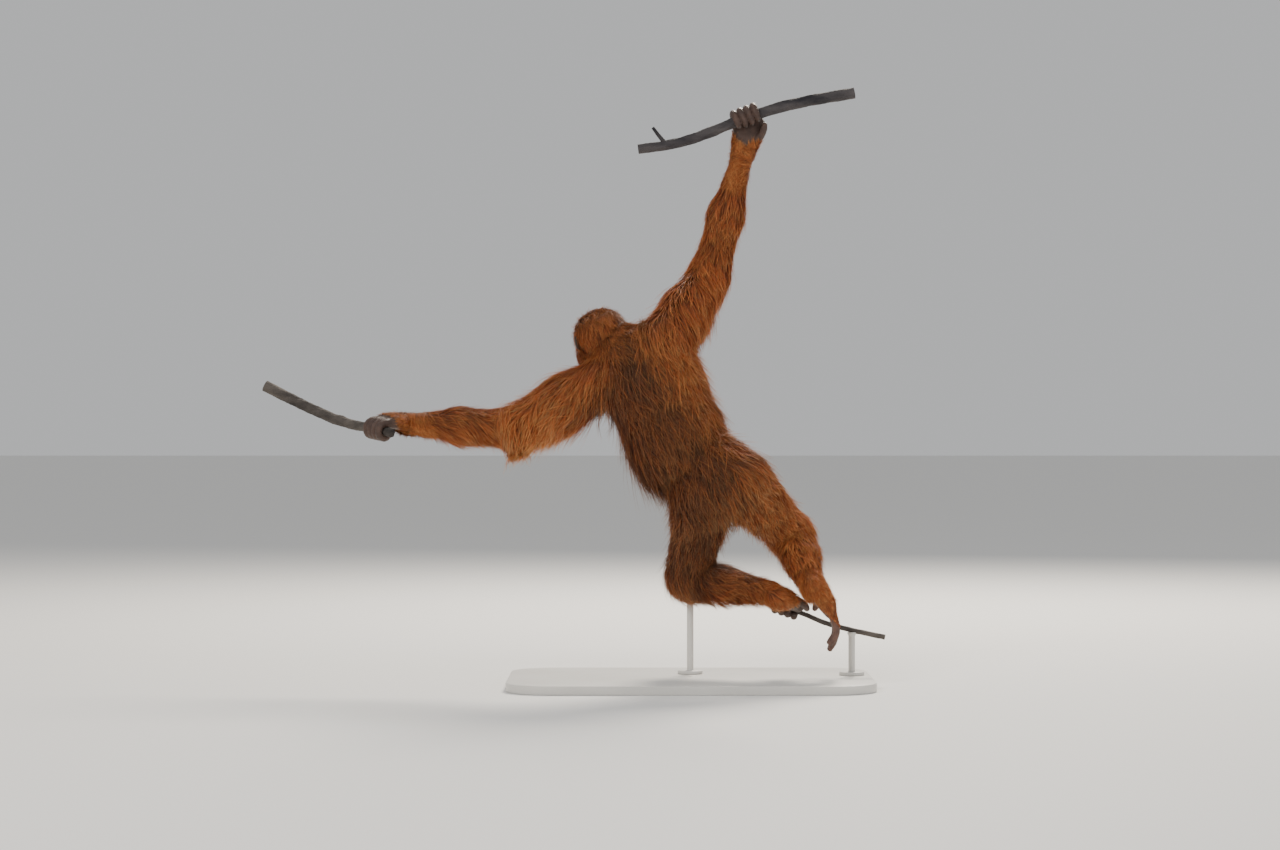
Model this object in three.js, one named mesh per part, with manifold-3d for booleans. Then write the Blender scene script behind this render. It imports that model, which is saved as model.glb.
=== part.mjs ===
// An adult orangutan, life size, stretched between three branches and seen from behind in its main view.
// Millimetres. +X is to the right of the main view, +Y points away from it, +Z is up.
// The origin is the centre of the underside of the display stand.
import * as THREE from "three";
import { mergeVertices } from "three/addons/utils/BufferGeometryUtils.js";
import Module from "manifold-3d";

const wasm = await Module();
wasm.setup();

// Joints of the skeleton.
const SHOULDER_LEFT = [-215, 25, 835];
const SHOULDER_RIGHT = [-68, -25, 925];
const ELBOW_LEFT = [-478, 90, 698];
const ELBOW_RIGHT = [58, 150, 1125];
const WRIST_LEFT = [-782, 168, 708];
const WRIST_RIGHT = [148, 182, 1445];
const HIP_LEFT = [43, 15, 527];
const HIP_RIGHT = [140, -15, 549];
const KNEE_LEFT = [-4, 90, 286];
const KNEE_RIGHT = [283, 115, 402];
const ANKLE_LEFT = [218, -18, 252];
const HEEL_LEFT = [240, -46, 238];
const ANKLE_RIGHT = [332, -56, 262];
const NECK_BASE = [-150, 5, 893];
const SKULL = [-240, 66, 940];

// Limb half thicknesses of the skin.
const SHOULDER_R = 60;
const ELBOW_R = 40;
const FOREARM_R = 37;
const WRIST_R = 23;
const HIP_R = 68;
const KNEE_R = 43;
const CALF_R = 37;
const ANKLE_R = 25;

// Trunk: centre, then half sizes across, front to back and along the spine.
const CHEST = { at: [-102, 10, 812], half: [124, 102, 150] };
const BELLY = { at: [-42, 26, 685], half: [114, 108, 135] };
const RUMP = { at: [70, 4, 560], half: [98, 84, 100] };

// Depth of the coat from the skin to the tips of the hair.
const COAT = { trunk: 28, arm: 24, forearm: 18, thigh: 19, shin: 14.5, head: 14, fringe: 12 };

// Long hair that hangs from the elbows and the undersides of the arms: from, to, and the half thicknesses.
const FRINGES = [
  [[-470, 90, 690], [-482, 92, 636], 24, 6],
  [[-390, 66, 716], [-400, 70, 668], 26, 8],
  [[-600, 120, 690], [-578, 116, 662], 22, 8],
  [[78, 152, 1128], [106, 150, 1072], 24, 6],
  [[112, 160, 1240], [128, 158, 1196], 18, 6],
];

// Perches: half thicknesses, and the routes of their centre lines.
const BRANCH_R = 16;
const VINE_R = 13;
const TWIG_R = 7;
const GRIP_RIGHT = [157, 150, 1548];
const GRIP_LEFT = [-850, 112, 690];
const GRIP_FOOT = [262, 45, 205];
const BRANCH_ROUTE = [
  [-140, 158, 1463],
  [-60, 154, 1473],
  [27, 151, 1496],
  GRIP_RIGHT,
  [297, 152, 1588],
  [455, 156, 1617],
];
const VINE_ROUTE = [[-1180, 262, 812], [-1053, 240, 750], [-958, 196, 712], GRIP_LEFT, [-812, 66, 681]];
const STUB_ROUTE = [[-62, 154, 1474], [-84, 150, 1500], [-100, 146, 1521]];
const TWIG_ROUTE = [
  [196, 44, 226],
  GRIP_FOOT,
  [302, 46, 193],
  [367, 47, 166],
  [440, 46, 146],
  [530, 42, 127],
];

// Stand.
const BASE = { long: 980, wide: 600, high: 24, round: 120, bevel: 4 };
const ROD_R = 9;
const COLLAR = { r: 34, high: 10 };
const PAD = { r: 26, high: 10 };
const KNEE_ROD = { at: [2, 92], top: 243 };
const TWIG_ROD = { at: [440, 46], top: 142 };

// The gap that touching pieces keep.
const GAP = 0.3;

// Small vector and number helpers.
const vec = (p) => new THREE.Vector3(p[0], p[1], p[2]);
const lerp = (a, b, t) => a + (b - a) * t;
const mix = (p, q, t) => [lerp(p[0], q[0], t), lerp(p[1], q[1], t), lerp(p[2], q[2], t)];
const clamp = (x, low, high) => Math.min(Math.max(x, low), high);
const smooth = (low, high, x) => {
  const t = clamp((x - low) / (high - low), 0, 1);
  return t * t * (3 - 2 * t);
};

// An orthonormal frame whose second axis is near "forward" and whose third axis is "up".
function frameOf(up, forward) {
  const w = vec(up).normalize();
  const v = vec(forward);
  v.addScaledVector(w, -v.dot(w)).normalize();
  const u = new THREE.Vector3().crossVectors(v, w);
  return { u, v, w };
}

// Closed solids from triangle meshes, and back.
function toSolid(geometry) {
  const bare = geometry.clone();
  bare.deleteAttribute("normal");
  bare.deleteAttribute("uv");
  const merged = mergeVertices(bare, 1e-4);
  return new wasm.Manifold(
    new wasm.Mesh({
      numProp: 3,
      vertProperties: new Float32Array(merged.attributes.position.array),
      triVerts: new Uint32Array(merged.index.array),
    }),
  );
}

// Corners that lie in one place but belong to different sheets of the surface move 0.05 mm apart, each
// towards its own neighbours.
function partSheets({ vertProperties: at, triVerts }) {
  const twins = new Map();
  for (let i = 0; i < at.length; i += 3) {
    const key = [at[i], at[i + 1], at[i + 2]].map((x) => Math.round(x * 400)).join();
    twins.set(key, [...(twins.get(key) ?? []), i]);
  }
  const moved = new Map();
  for (const group of twins.values()) {
    if (group.length > 1) for (const i of group) moved.set(i, new THREE.Vector3());
  }
  for (let i = 0; i < triVerts.length; i += 3) {
    for (let j = 0; j < 3; j++) {
      const here = 3 * triVerts[i + j];
      if (!moved.has(here)) continue;
      for (const k of [1, 2]) {
        const there = 3 * triVerts[i + ((j + k) % 3)];
        const [x, y, z] = [0, 1, 2].map((axis) => at[there + axis] - at[here + axis]);
        moved.get(here).add(new THREE.Vector3(x, y, z));
      }
    }
  }
  for (const [i, way] of moved) {
    way.setLength(0.05);
    at[i] += way.x;
    at[i + 1] += way.y;
    at[i + 2] += way.z;
  }
}

function toGeometry(solid) {
  const mesh = solid.getMesh();
  partSheets(mesh);
  const geometry = new THREE.BufferGeometry();
  geometry.setAttribute("position", new THREE.BufferAttribute(new Float32Array(mesh.vertProperties), 3));
  geometry.setIndex(new THREE.BufferAttribute(new Uint32Array(mesh.triVerts), 1));
  const flat = geometry.toNonIndexed();
  flat.computeVertexNormals();
  return flat;
}

function meshFrom(points, faces) {
  const geometry = new THREE.BufferGeometry();
  geometry.setAttribute("position", new THREE.Float32BufferAttribute(points.flat(), 3));
  geometry.setIndex(faces.flat());
  return geometry;
}

// A closed tube through rings of equal size, with a point or a flat fan at each end.
function skinRings(rings, startPoint, endPoint) {
  const sides = rings[0].length;
  const points = rings.flat();
  const faces = [];
  for (let i = 0; i + 1 < rings.length; i++) {
    for (let j = 0; j < sides; j++) {
      const k = (j + 1) % sides;
      const a = i * sides + j;
      const b = i * sides + k;
      faces.push([a, b, b + sides], [a, b + sides, a + sides]);
    }
  }
  const first = points.push(startPoint) - 1;
  const last = points.push(endPoint) - 1;
  const top = (rings.length - 1) * sides;
  for (let j = 0; j < sides; j++) {
    const k = (j + 1) % sides;
    faces.push([first, k, j], [last, top + j, top + k]);
  }
  return meshFrom(points, faces);
}

// A tube of elliptical section along a smooth route. Each station holds a share of the way, the half width
// along "side" and the half thickness across it. The ends are rounded by cap steps.
function loft(route, stations, sides, side, ends = [0.5, 0.5]) {
  const curve = new THREE.CatmullRomCurve3(route.map(vec), false, "centripetal");
  const sizeAt = (t) => {
    const next = stations.findIndex((s) => s[0] >= t);
    if (next <= 0) return stations[0].slice(1);
    const [low, high] = [stations[next - 1], stations[next]];
    const share = (t - low[0]) / (high[0] - low[0]);
    return [lerp(low[1], high[1], share), lerp(low[2], high[2], share)];
  };
  const ring = (t, shrink, push) => {
    const centre = curve.getPoint(t);
    const along = curve.getTangent(t);
    const across = typeof side === "function" ? vec(side(t)) : vec(side);
    across.addScaledVector(along, -across.dot(along)).normalize();
    const over = new THREE.Vector3().crossVectors(along, across);
    const [a, b] = sizeAt(t);
    centre.addScaledVector(along, push * Math.min(a, b));
    return Array.from({ length: sides }, (_, j) => {
      const angle = (2 * Math.PI * j) / sides;
      return centre
        .clone()
        .addScaledVector(across, a * shrink * Math.cos(angle))
        .addScaledVector(over, b * shrink * Math.sin(angle))
        .toArray();
    });
  };
  const tip = (t, push) => {
    const [a, b] = sizeAt(t);
    return curve.getPoint(t).addScaledVector(curve.getTangent(t), push * Math.min(a, b)).toArray();
  };
  const rings = [ring(0, 0.72, -0.7 * ends[0])];
  for (const [t] of stations) rings.push(ring(t, 1, 0));
  rings.push(ring(1, 0.72, 0.7 * ends[1]));
  return skinRings(rings, tip(0, -ends[0]), tip(1, ends[1]));
}

// An ellipsoid of few faces, turned to a frame.
function pebble(centre, half, frame, around, steps) {
  const at = (ring, spoke) => {
    const polar = (Math.PI * ring) / steps;
    const turn = (2 * Math.PI * spoke) / around;
    return vec(centre)
      .addScaledVector(frame.u, half[0] * Math.sin(polar) * Math.cos(turn))
      .addScaledVector(frame.v, half[1] * Math.sin(polar) * Math.sin(turn))
      .addScaledVector(frame.w, -half[2] * Math.cos(polar))
      .toArray();
  };
  const rings = [];
  for (let i = 1; i < steps; i++) rings.push(Array.from({ length: around }, (_, j) => at(i, j)));
  return skinRings(rings, at(0, 0), at(steps, 0));
}

// Signed distances to the forms that the body is blended from.
function ellipsoidForm(centre, half, frame, coat) {
  const c = vec(centre);
  const axes = [frame.u, frame.v, frame.w];
  return {
    coat,
    distance(p, grow) {
      const d = p.clone().sub(c);
      let k0 = 0;
      let k1 = 0;
      for (let i = 0; i < 3; i++) {
        const r = half[i] + grow;
        const x = d.dot(axes[i]) / r;
        k0 += x * x;
        k1 += (x * x) / (r * r);
      }
      k0 = Math.sqrt(k0);
      return k1 > 0 ? (k0 * (k0 - 1)) / Math.sqrt(k1) : -Math.min(...half);
    },
  };
}

function boneForm(from, to, r0, r1, coat) {
  const a = vec(from);
  const b = vec(to);
  const along = b.clone().sub(a);
  const length2 = along.lengthSq();
  return {
    coat,
    distance(p, grow) {
      const d = p.clone().sub(a);
      const t = clamp(d.dot(along) / length2, 0, 1);
      return d.addScaledVector(along, -t).length() - lerp(r0, r1, t) - grow;
    },
  };
}

function blend(distances, soft) {
  let sum = 0;
  for (const d of distances) sum += Math.exp(-d / soft);
  return -soft * Math.log(sum);
}

const unit = (from, to) => vec(to).sub(vec(from)).normalize();
const SPINE_DOWN = unit(NECK_BASE, RUMP.at);
const TRUNK_FRAME = frameOf(SPINE_DOWN.clone().negate().toArray(), [0.17, 0.98, 0]);
const SKULL_FRAME = frameOf([-0.26, -0.02, 0.96], [-0.37, 0.92, -0.05]);

const FOREARM_MID_LEFT = mix(ELBOW_LEFT, WRIST_LEFT, 0.5);
const FOREARM_MID_RIGHT = mix(ELBOW_RIGHT, WRIST_RIGHT, 0.5);
const SHIN_MID_LEFT = mix(KNEE_LEFT, ANKLE_LEFT, 0.45);
const SHIN_MID_RIGHT = mix(KNEE_RIGHT, ANKLE_RIGHT, 0.45);

function armForms(shoulder, elbow, middle, wrist) {
  return [
    boneForm(shoulder, elbow, SHOULDER_R, ELBOW_R, COAT.arm),
    boneForm(elbow, middle, ELBOW_R + 1, FOREARM_R, COAT.forearm),
    boneForm(middle, wrist, FOREARM_R, WRIST_R, COAT.forearm * 0.7),
  ];
}

function legForms(hip, knee, middle, ankle) {
  return [
    boneForm(hip, knee, HIP_R, KNEE_R, COAT.thigh),
    boneForm(knee, middle, KNEE_R, CALF_R, COAT.shin),
    boneForm(middle, ankle, CALF_R, ANKLE_R, COAT.shin * 0.7),
  ];
}

const BODY_FORMS = [
  ellipsoidForm(CHEST.at, CHEST.half, TRUNK_FRAME, COAT.trunk),
  ellipsoidForm(BELLY.at, BELLY.half, TRUNK_FRAME, COAT.trunk),
  ellipsoidForm(RUMP.at, RUMP.half, TRUNK_FRAME, COAT.trunk),
  boneForm(NECK_BASE, SKULL, 66, 56, COAT.head),
  ...armForms(SHOULDER_LEFT, ELBOW_LEFT, FOREARM_MID_LEFT, WRIST_LEFT),
  ...armForms(SHOULDER_RIGHT, ELBOW_RIGHT, FOREARM_MID_RIGHT, WRIST_RIGHT),
  ...legForms(HIP_LEFT, KNEE_LEFT, SHIN_MID_LEFT, ANKLE_LEFT),
  ...legForms(HIP_RIGHT, KNEE_RIGHT, SHIN_MID_RIGHT, ANKLE_RIGHT),
  ...FRINGES.map(([from, to, r0, r1]) => boneForm(from, to, r0, r1, COAT.fringe)),
];
const BODY_SOFT = 13;

function bodyDistance(p) {
  return blend(BODY_FORMS.map((f) => f.distance(p, f.coat)), BODY_SOFT);
}

// The head, in its own frame: u to its left ear or right, v out of the face and w up. Sizes are skin sizes.
const inHead = (u, v, w) =>
  vec(SKULL)
    .addScaledVector(SKULL_FRAME.u, u)
    .addScaledVector(SKULL_FRAME.v, v)
    .addScaledVector(SKULL_FRAME.w, w);
const EYE = { out: 19, front: 65, up: 2, r: 11.5 };
const EAR = { out: 76, front: -2, up: 4, half: [7, 16, 21], cup: [6, 12, 16.5] };
const MOUTH_UP = -64;
const LIP_R = 7.5;
const MUZZLE = { front: 80, up: -58 };

const HEAD_SHAPES = [
  [[0, -6, 10], [66, 80, 62]],
  [[0, 40, -22], [53, 40, 50]],
  [[0, MUZZLE.front, MUZZLE.up], [39, 45, 32]],
  [[0, 97, -49], [30, 29, 20]],
  [[0, 88, -81], [27, 26, 15]],
  [[0, 46, -70], [45, 48, 30]],
  [[0, 84, -25], [10, 15, 14]],
];
const HEAD_PAIRS = [
  [[19, 62, 17], [22, 12, 8]],
  [[40, 42, -36], [20, 26, 28]],
  [[8, 97, -31], [8, 7, 6]],
];
const HEAD_SOFT = 5;

const HEAD_FORMS = [
  ...HEAD_SHAPES.map(([c, h]) => ellipsoidForm(inHead(...c).toArray(), h, SKULL_FRAME, 0)),
  ...[-1, 1].flatMap((s) =>
    HEAD_PAIRS.map(([c, h]) => ellipsoidForm(inHead(s * c[0], c[1], c[2]).toArray(), h, SKULL_FRAME, 0)),
  ),
];
const EYE_HOLLOWS = [-1, 1].map((s) => inHead(s * (EYE.out + 1), EYE.front + 22, EYE.up));

function headDistance(p) {
  let d = blend(HEAD_FORMS.map((f) => f.distance(p, 0)), HEAD_SOFT);
  for (const hollow of EYE_HOLLOWS) {
    const cut = 15 - p.distanceTo(hollow);
    d = Math.max(d, cut) + 0.5 * Math.max(0, 6 - Math.abs(d - cut)) ** 2 / 12;
  }
  return d;
}

// Where hair grows on the head: not on the face, nor round the ears.
function headHair(p) {
  const d = p.clone().sub(vec(SKULL));
  const [u, v, w] = [d.dot(SKULL_FRAME.u), d.dot(SKULL_FRAME.v), d.dot(SKULL_FRAME.w)];
  const face = Math.hypot(u / 50, (w + 34) / 62);
  const nearEar = smooth(32, 16, Math.hypot(Math.abs(u) - EAR.out, v - EAR.front, w - EAR.up));
  return (1 - smooth(8, 40, v) * smooth(1.3, 0.95, face)) * (1 - nearEar);
}

const AXES = [[1, 0, 0], [0, 1, 0], [0, 0, 1]];

// Cell faces whose corners are in and out by turns would join four faces of the surface at one edge. The
// outer corner nearest to the surface is filled in. True when any was.
function partCorners(value, count, index) {
  let changed = false;
  for (let k = 0; k + 1 < count[2]; k++)
    for (let j = 0; j + 1 < count[1]; j++)
      for (let i = 0; i + 1 < count[0]; i++)
        for (let axis = 0; axis < 3; axis++) {
          const [a, b] = [AXES[(axis + 1) % 3], AXES[(axis + 2) % 3]];
          const ring = [[0, 0], [1, 0], [1, 1], [0, 1]].map(([m, n]) =>
            index(i + m * a[0] + n * b[0], j + m * a[1] + n * b[1], k + m * a[2] + n * b[2]),
          );
          const inside = ring.map((c) => value[c] < 0);
          if (inside[0] !== inside[2] || inside[1] !== inside[3] || inside[0] === inside[1]) continue;
          const outer = ring.filter((c) => value[c] >= 0);
          value[value[outer[0]] < value[outer[1]] ? outer[0] : outer[1]] = -0.5;
          changed = true;
        }
  return changed;
}

// A closed surface where a distance is zero, on a grid whose lines may lie unevenly.
function surface(distance, lines) {
  const [xs, ys, zs] = lines;
  const count = [xs.length, ys.length, zs.length];
  const value = new Float32Array(count[0] * count[1] * count[2]);
  const index = (i, j, k) => (k * count[1] + j) * count[0] + i;
  const p = new THREE.Vector3();
  for (let k = 0; k < count[2]; k++)
    for (let j = 0; j < count[1]; j++)
      for (let i = 0; i < count[0]; i++) value[index(i, j, k)] = distance(p.set(xs[i], ys[j], zs[k]));
  while (partCorners(value, count, index));
  const corners = [0, 1, 2, 3, 4, 5, 6, 7].map((c) => [c & 1, (c >> 1) & 1, c >> 2]);
  const edges = [];
  for (let a = 0; a < 8; a++) for (const bit of [1, 2, 4]) if (!(a & bit)) edges.push([a, a | bit]);
  const points = [];
  const cell = new Map();
  for (let k = 0; k + 1 < count[2]; k++)
    for (let j = 0; j + 1 < count[1]; j++)
      for (let i = 0; i + 1 < count[0]; i++) {
        const v = corners.map(([a, b, c]) => value[index(i + a, j + b, k + c)]);
        const sum = [0, 0, 0];
        let hits = 0;
        for (const [a, b] of edges) {
          if (v[a] < 0 === v[b] < 0) continue;
          const t = v[a] / (v[a] - v[b]);
          const from = corners[a];
          const to = corners[b];
          sum[0] += lerp(xs[i + from[0]], xs[i + to[0]], t);
          sum[1] += lerp(ys[j + from[1]], ys[j + to[1]], t);
          sum[2] += lerp(zs[k + from[2]], zs[k + to[2]], t);
          hits++;
        }
        if (hits) cell.set(index(i, j, k), points.push(sum.map((s) => s / hits)) - 1);
      }
  const faces = [];
  for (let k = 1; k + 1 < count[2]; k++)
    for (let j = 1; j + 1 < count[1]; j++)
      for (let i = 1; i + 1 < count[0]; i++)
        for (let axis = 0; axis < 3; axis++) {
          const s = AXES[axis];
          const here = value[index(i, j, k)] < 0;
          if (here === value[index(i + s[0], j + s[1], k + s[2])] < 0) continue;
          const [a, b] = [AXES[(axis + 1) % 3], AXES[(axis + 2) % 3]];
          const quad = [[0, 0], [1, 0], [1, 1], [0, 1]].map(([m, n]) =>
            cell.get(index(i - m * a[0] - n * b[0], j - m * a[1] - n * b[1], k - m * a[2] - n * b[2])),
          );
          if (!here) quad.reverse();
          faces.push([quad[0], quad[1], quad[2]], [quad[0], quad[2], quad[3]]);
        }
  return meshFrom(points, faces);
}

function evenLines(low, high, step) {
  return Array.from({ length: Math.ceil((high - low) / step) + 1 }, (_, i) => low + i * step);
}

const BODY_CELL = 30;
function bodySolid(grow) {
  const lines = [[-870, 450], [-190, 270], [130, 1540]].map(([low, high]) => evenLines(low, high, BODY_CELL));
  return toSolid(surface((p) => bodyDistance(p) - grow, lines));
}

// The head is gridded in its own frame, finer over the face than over the crown.
const HEAD_CELL = { face: 9, across: 10.4, crown: 15 };
function headSolid() {
  const across = evenLines(-101.9, 104, HEAD_CELL.across);
  const back = evenLines(-125, 20, HEAD_CELL.crown);
  const front = evenLines(back[back.length - 1] + HEAD_CELL.face, 140, HEAD_CELL.face);
  const low = evenLines(-131, 30, HEAD_CELL.face);
  const high = evenLines(30 + HEAD_CELL.crown, 115, HEAD_CELL.crown);
  const geometry = surface(
    (p) => {
      const place = inHead(p.x, p.y, p.z);
      return headDistance(place) - COAT.head * headHair(place);
    },
    [across, [...back, ...front], [...low, ...high]],
  );
  const turn = new THREE.Matrix4().makeBasis(SKULL_FRAME.u, SKULL_FRAME.v, SKULL_FRAME.w);
  geometry.applyMatrix4(turn.setPosition(vec(SKULL)));
  return toSolid(geometry);
}

// Points of the head's surface out along a ray from inside it.
function headSkin(from, direction) {
  const p = from.clone();
  for (let i = 0; i < 40; i++) p.addScaledVector(direction, -headDistance(p) * 0.8);
  return p;
}

function mouthPoints(up, reach, sink) {
  const middle = inHead(0, MUZZLE.front - 22, up);
  return Array.from({ length: 11 }, (_, i) => {
    const turn = lerp(-reach, reach, i / 10);
    const direction = new THREE.Vector3()
      .addScaledVector(SKULL_FRAME.u, Math.sin(turn))
      .addScaledVector(SKULL_FRAME.v, Math.cos(turn))
      .addScaledVector(SKULL_FRAME.w, -0.1 * Math.abs(Math.sin(turn)));
    return headSkin(middle, direction.normalize()).addScaledVector(direction, -sink).toArray();
  });
}

function headFeatures(head) {
  const up = SKULL_FRAME.w.toArray();
  const forward = SKULL_FRAME.v.toArray();
  const lip = (height, r) => {
    const sizes = [[0, r * 0.6, r * 0.6], [0.5, r, r], [1, r * 0.6, r * 0.6]];
    return toSolid(loft(mouthPoints(height, 1.05, r * 0.35), sizes, 6, up));
  };
  let solid = head.add(lip(MOUTH_UP + LIP_R, LIP_R)).add(lip(MOUTH_UP - LIP_R, LIP_R));
  const groove = [[0, 3, 1.2], [0.33, 7.5, 2.2], [0.67, 7.5, 2.2], [1, 3, 1.2]];
  solid = solid.subtract(toSolid(loft(mouthPoints(MOUTH_UP, 1.14, -2.5), groove, 4, forward)));
  for (const s of [-1, 1]) {
    const leaning = frameOf([s * 0.2 + up[0], up[1], up[2]], forward);
    const nostril = pebble(inHead(s * 6.5, 104, -32).toArray(), [3.2, 7, 4], leaning, 6, 4);
    solid = solid.subtract(toSolid(nostril));
    const centre = inHead(s * EYE.out, EYE.front, EYE.up);
    for (const [side, lift] of [[1, 7.5], [-1, -8]]) {
      const lid = Array.from({ length: 7 }, (_, i) => {
        const turn = lerp(-1.15, 1.15, i / 6);
        return centre
          .clone()
          .addScaledVector(SKULL_FRAME.u, 13 * Math.sin(turn))
          .addScaledVector(SKULL_FRAME.v, 10.5 * Math.cos(turn) + 1)
          .addScaledVector(SKULL_FRAME.w, lift * Math.cos(turn) + side * 0.4)
          .toArray();
      });
      solid = solid.add(toSolid(loft(lid, [[0, 2, 2], [0.5, 2.9, 2.6], [1, 2, 2]], 5, up)));
    }
  }
  return solid;
}

function eyeball(side, grow) {
  const r = EYE.r + grow;
  return toSolid(pebble(inHead(side * EYE.out, EYE.front, EYE.up).toArray(), [r, r, r], SKULL_FRAME, 10, 7));
}

// A small cupped ear, open to the front and side.
function ear(side, grow, cupped) {
  const forward = SKULL_FRAME.v.clone().multiplyScalar(0.8).addScaledVector(SKULL_FRAME.u, -side * 0.6);
  const frame = frameOf(SKULL_FRAME.w.toArray(), forward.toArray());
  const middle = inHead(side * EAR.out, EAR.front, EAR.up);
  const shell = toSolid(pebble(middle.toArray(), EAR.half.map((h) => h + grow), frame, 10, 6));
  if (!cupped) return shell;
  middle.addScaledVector(SKULL_FRAME.u, side * 4.4).addScaledVector(SKULL_FRAME.v, 3.3);
  return shell.subtract(toSolid(pebble(middle.toArray(), EAR.cup, frame, 8, 5)));
}

// A hand or foot that closes round a perch. The digits lie side by side along the perch's axis and wrap from
// the palm's side over the direction in which the palm points.
const DIGIT = { first: 9.5, last: 7.4, sides: 6 };

function gripFrame(grip) {
  const axis = vec(grip.axis).normalize();
  const out = vec(grip.out);
  out.addScaledVector(axis, -out.dot(axis)).normalize();
  const wrap = vec(grip.wrap);
  wrap.addScaledVector(axis, -wrap.dot(axis)).addScaledVector(out, -wrap.dot(out)).normalize();
  return { axis, out, wrap };
}

function gripPoint(grip, frame, along, radius, angle) {
  return vec(grip.at)
    .addScaledVector(frame.axis, along)
    .addScaledVector(frame.out, radius * Math.cos(angle))
    .addScaledVector(frame.wrap, radius * Math.sin(angle));
}

function nailOn(tip, before, outward, size) {
  const along = tip.clone().sub(before).normalize();
  const frame = frameOf(along.toArray(), outward.toArray());
  const middle = tip.clone().addScaledVector(along, -size * 0.4).addScaledVector(frame.v, size * 0.62);
  return pebble(middle.toArray(), [size * 0.6, size * 0.42, size * 0.85], frame, 5, 3);
}

function gripDigits(grip) {
  const frame = gripFrame(grip);
  return grip.digits.map(([along, first, last]) => {
    const [from, to] = [THREE.MathUtils.degToRad(first), THREE.MathUtils.degToRad(last)];
    const thick = DIGIT.first * grip.scale;
    const tip = DIGIT.last * grip.scale;
    const radius = grip.perch + GAP + thick * 0.93;
    const route = [gripPoint(grip, frame, along, radius, from).addScaledVector(frame.wrap, -26).toArray()];
    const steps = 7;
    for (let k = 0; k <= steps; k++) {
      const share = k / steps;
      const out = radius - (thick - tip) * share;
      route.push(gripPoint(grip, frame, along * (1 - 0.08 * share), out, lerp(from, to, share)).toArray());
    }
    const stations = [
      [0, thick, thick * 0.9],
      [0.36, thick, thick],
      [0.52, thick * 0.9, thick * 0.9],
      [0.66, thick * 0.92, thick * 0.92],
      [0.82, tip * 1.04, tip],
      [1, tip, tip * 0.9],
    ];
    const digit = toSolid(loft(route, stations, DIGIT.sides, frame.axis.toArray(), [0.5, 0.9]));
    const end = vec(route[steps + 1]);
    const outward = end.clone().sub(gripPoint(grip, frame, along, 0, 0));
    return digit.add(toSolid(nailOn(end, vec(route[steps]), outward, tip)));
  });
}

function looseDigit(route, thick, tip, side, nailOut) {
  const stations = [
    [0, thick, thick * 0.9],
    [0.35, thick, thick],
    [0.65, thick * 0.9, thick * 0.9],
    [1, tip, tip * 0.9],
  ];
  const digit = toSolid(loft(route, stations, DIGIT.sides, side, [0.5, 0.9]));
  const [end, before] = [vec(route[route.length - 1]), vec(route[route.length - 2])];
  return digit.add(toSolid(nailOn(end, before, vec(nailOut), tip)));
}

// Each digit: its place along the perch, and the angles in degrees where it starts and ends.
const HAND_RIGHT = {
  at: GRIP_RIGHT,
  axis: [0.93, 0.01, 0.36],
  out: [0, 1, 0],
  wrap: [-0.2, 0, 1],
  perch: BRANCH_R,
  scale: 1,
  digits: [[30, -8, 232], [10, -4, 243], [-10, -4, 240], [-30, -8, 225]],
  thumbNail: [0.6, 0.6, 0.3],
  palm: { from: WRIST_RIGHT, wide: [23, 32, 40, 41], thick: [20, 19, 16, 13], sink: 14 },
};
const HAND_LEFT = {
  at: GRIP_LEFT,
  axis: [-0.64, 0.77, 0.12],
  out: [0.05, 0, 1],
  wrap: [-0.77, -0.64, 0],
  perch: VINE_R,
  scale: 1,
  digits: [[30, -8, 236], [10, -4, 246], [-10, -4, 242], [-30, -8, 228]],
  thumbNail: [0, 0.6, -0.8],
  palm: { from: WRIST_LEFT, wide: [23, 32, 40, 41], thick: [20, 19, 16, 13], sink: 14 },
};
const FOOT_LEFT = {
  at: GRIP_FOOT,
  axis: [0.95, 0, -0.31],
  out: [0.2, 0, 1],
  wrap: [0, 1, 0],
  perch: TWIG_R,
  scale: 0.98,
  digits: [[28, -8, 236], [9, -4, 250], [-10, -4, 246], [-29, -8, 232]],
  thumbNail: [0.8, -0.4, 0.4],
  palm: { from: HEEL_LEFT, wide: [26, 31, 38, 40], thick: [24, 22, 17, 13], sink: 12 },
};

function palmSolid(grip, grow) {
  const frame = gripFrame(grip);
  const radius = grip.perch + GAP + grip.palm.thick[3];
  const knuckles = gripPoint(grip, frame, 0, radius, 0);
  const start = vec(grip.palm.from);
  const bend = knuckles.clone().addScaledVector(frame.wrap, -46).addScaledVector(frame.out, 4);
  const route = [start.toArray(), bend.toArray(), knuckles.toArray()];
  const { wide, thick } = grip.palm;
  const stations = [0, 0.33, 0.67, 1].map((t, i) => [t, wide[i] + grow, thick[i] + grow]);
  return toSolid(loft(route, stations, 12, frame.axis.toArray(), [0.8, 0.7]));
}

// Thumbs and great toes are short and stand apart from the other digits.
const THUMB_RIGHT_ROUTE = [[164, 186, 1462], [184, 170, 1484], [202, 156, 1506], [208, 146, 1528]];
const THUMB_LEFT_ROUTE = [[-800, 186, 706], [-826, 205, 700], [-858, 206, 690], [-886, 196, 684]];
const HALLUX_LEFT_ROUTE = [[258, -24, 238], [286, -28, 232], [307, -16, 220], [316, 4, 206]];

// The right foot hangs open beside the twig, its sole to the left and its long toes down.
const SOLE_RIGHT = [[322, -68, 280], [340, -60, 252], [364, -52, 222], [386, -44, 188]];
const TOES_RIGHT = [-1.5, -0.5, 0.5, 1.5].map((n) => {
  const y = -43 + n * 17;
  const lift = 8 * n * n;
  return [
    [372, y - 4, 206],
    [386, y - 2, 178],
    [391, y - 2, 150],
    [386, y - 3, 124 + lift * 0.5],
    [374, y - 4, 100 + lift],
  ];
});
const HALLUX_RIGHT_ROUTE = [[352, -30, 250], [352, -8, 242], [346, 10, 226], [338, 18, 206]];

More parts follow.
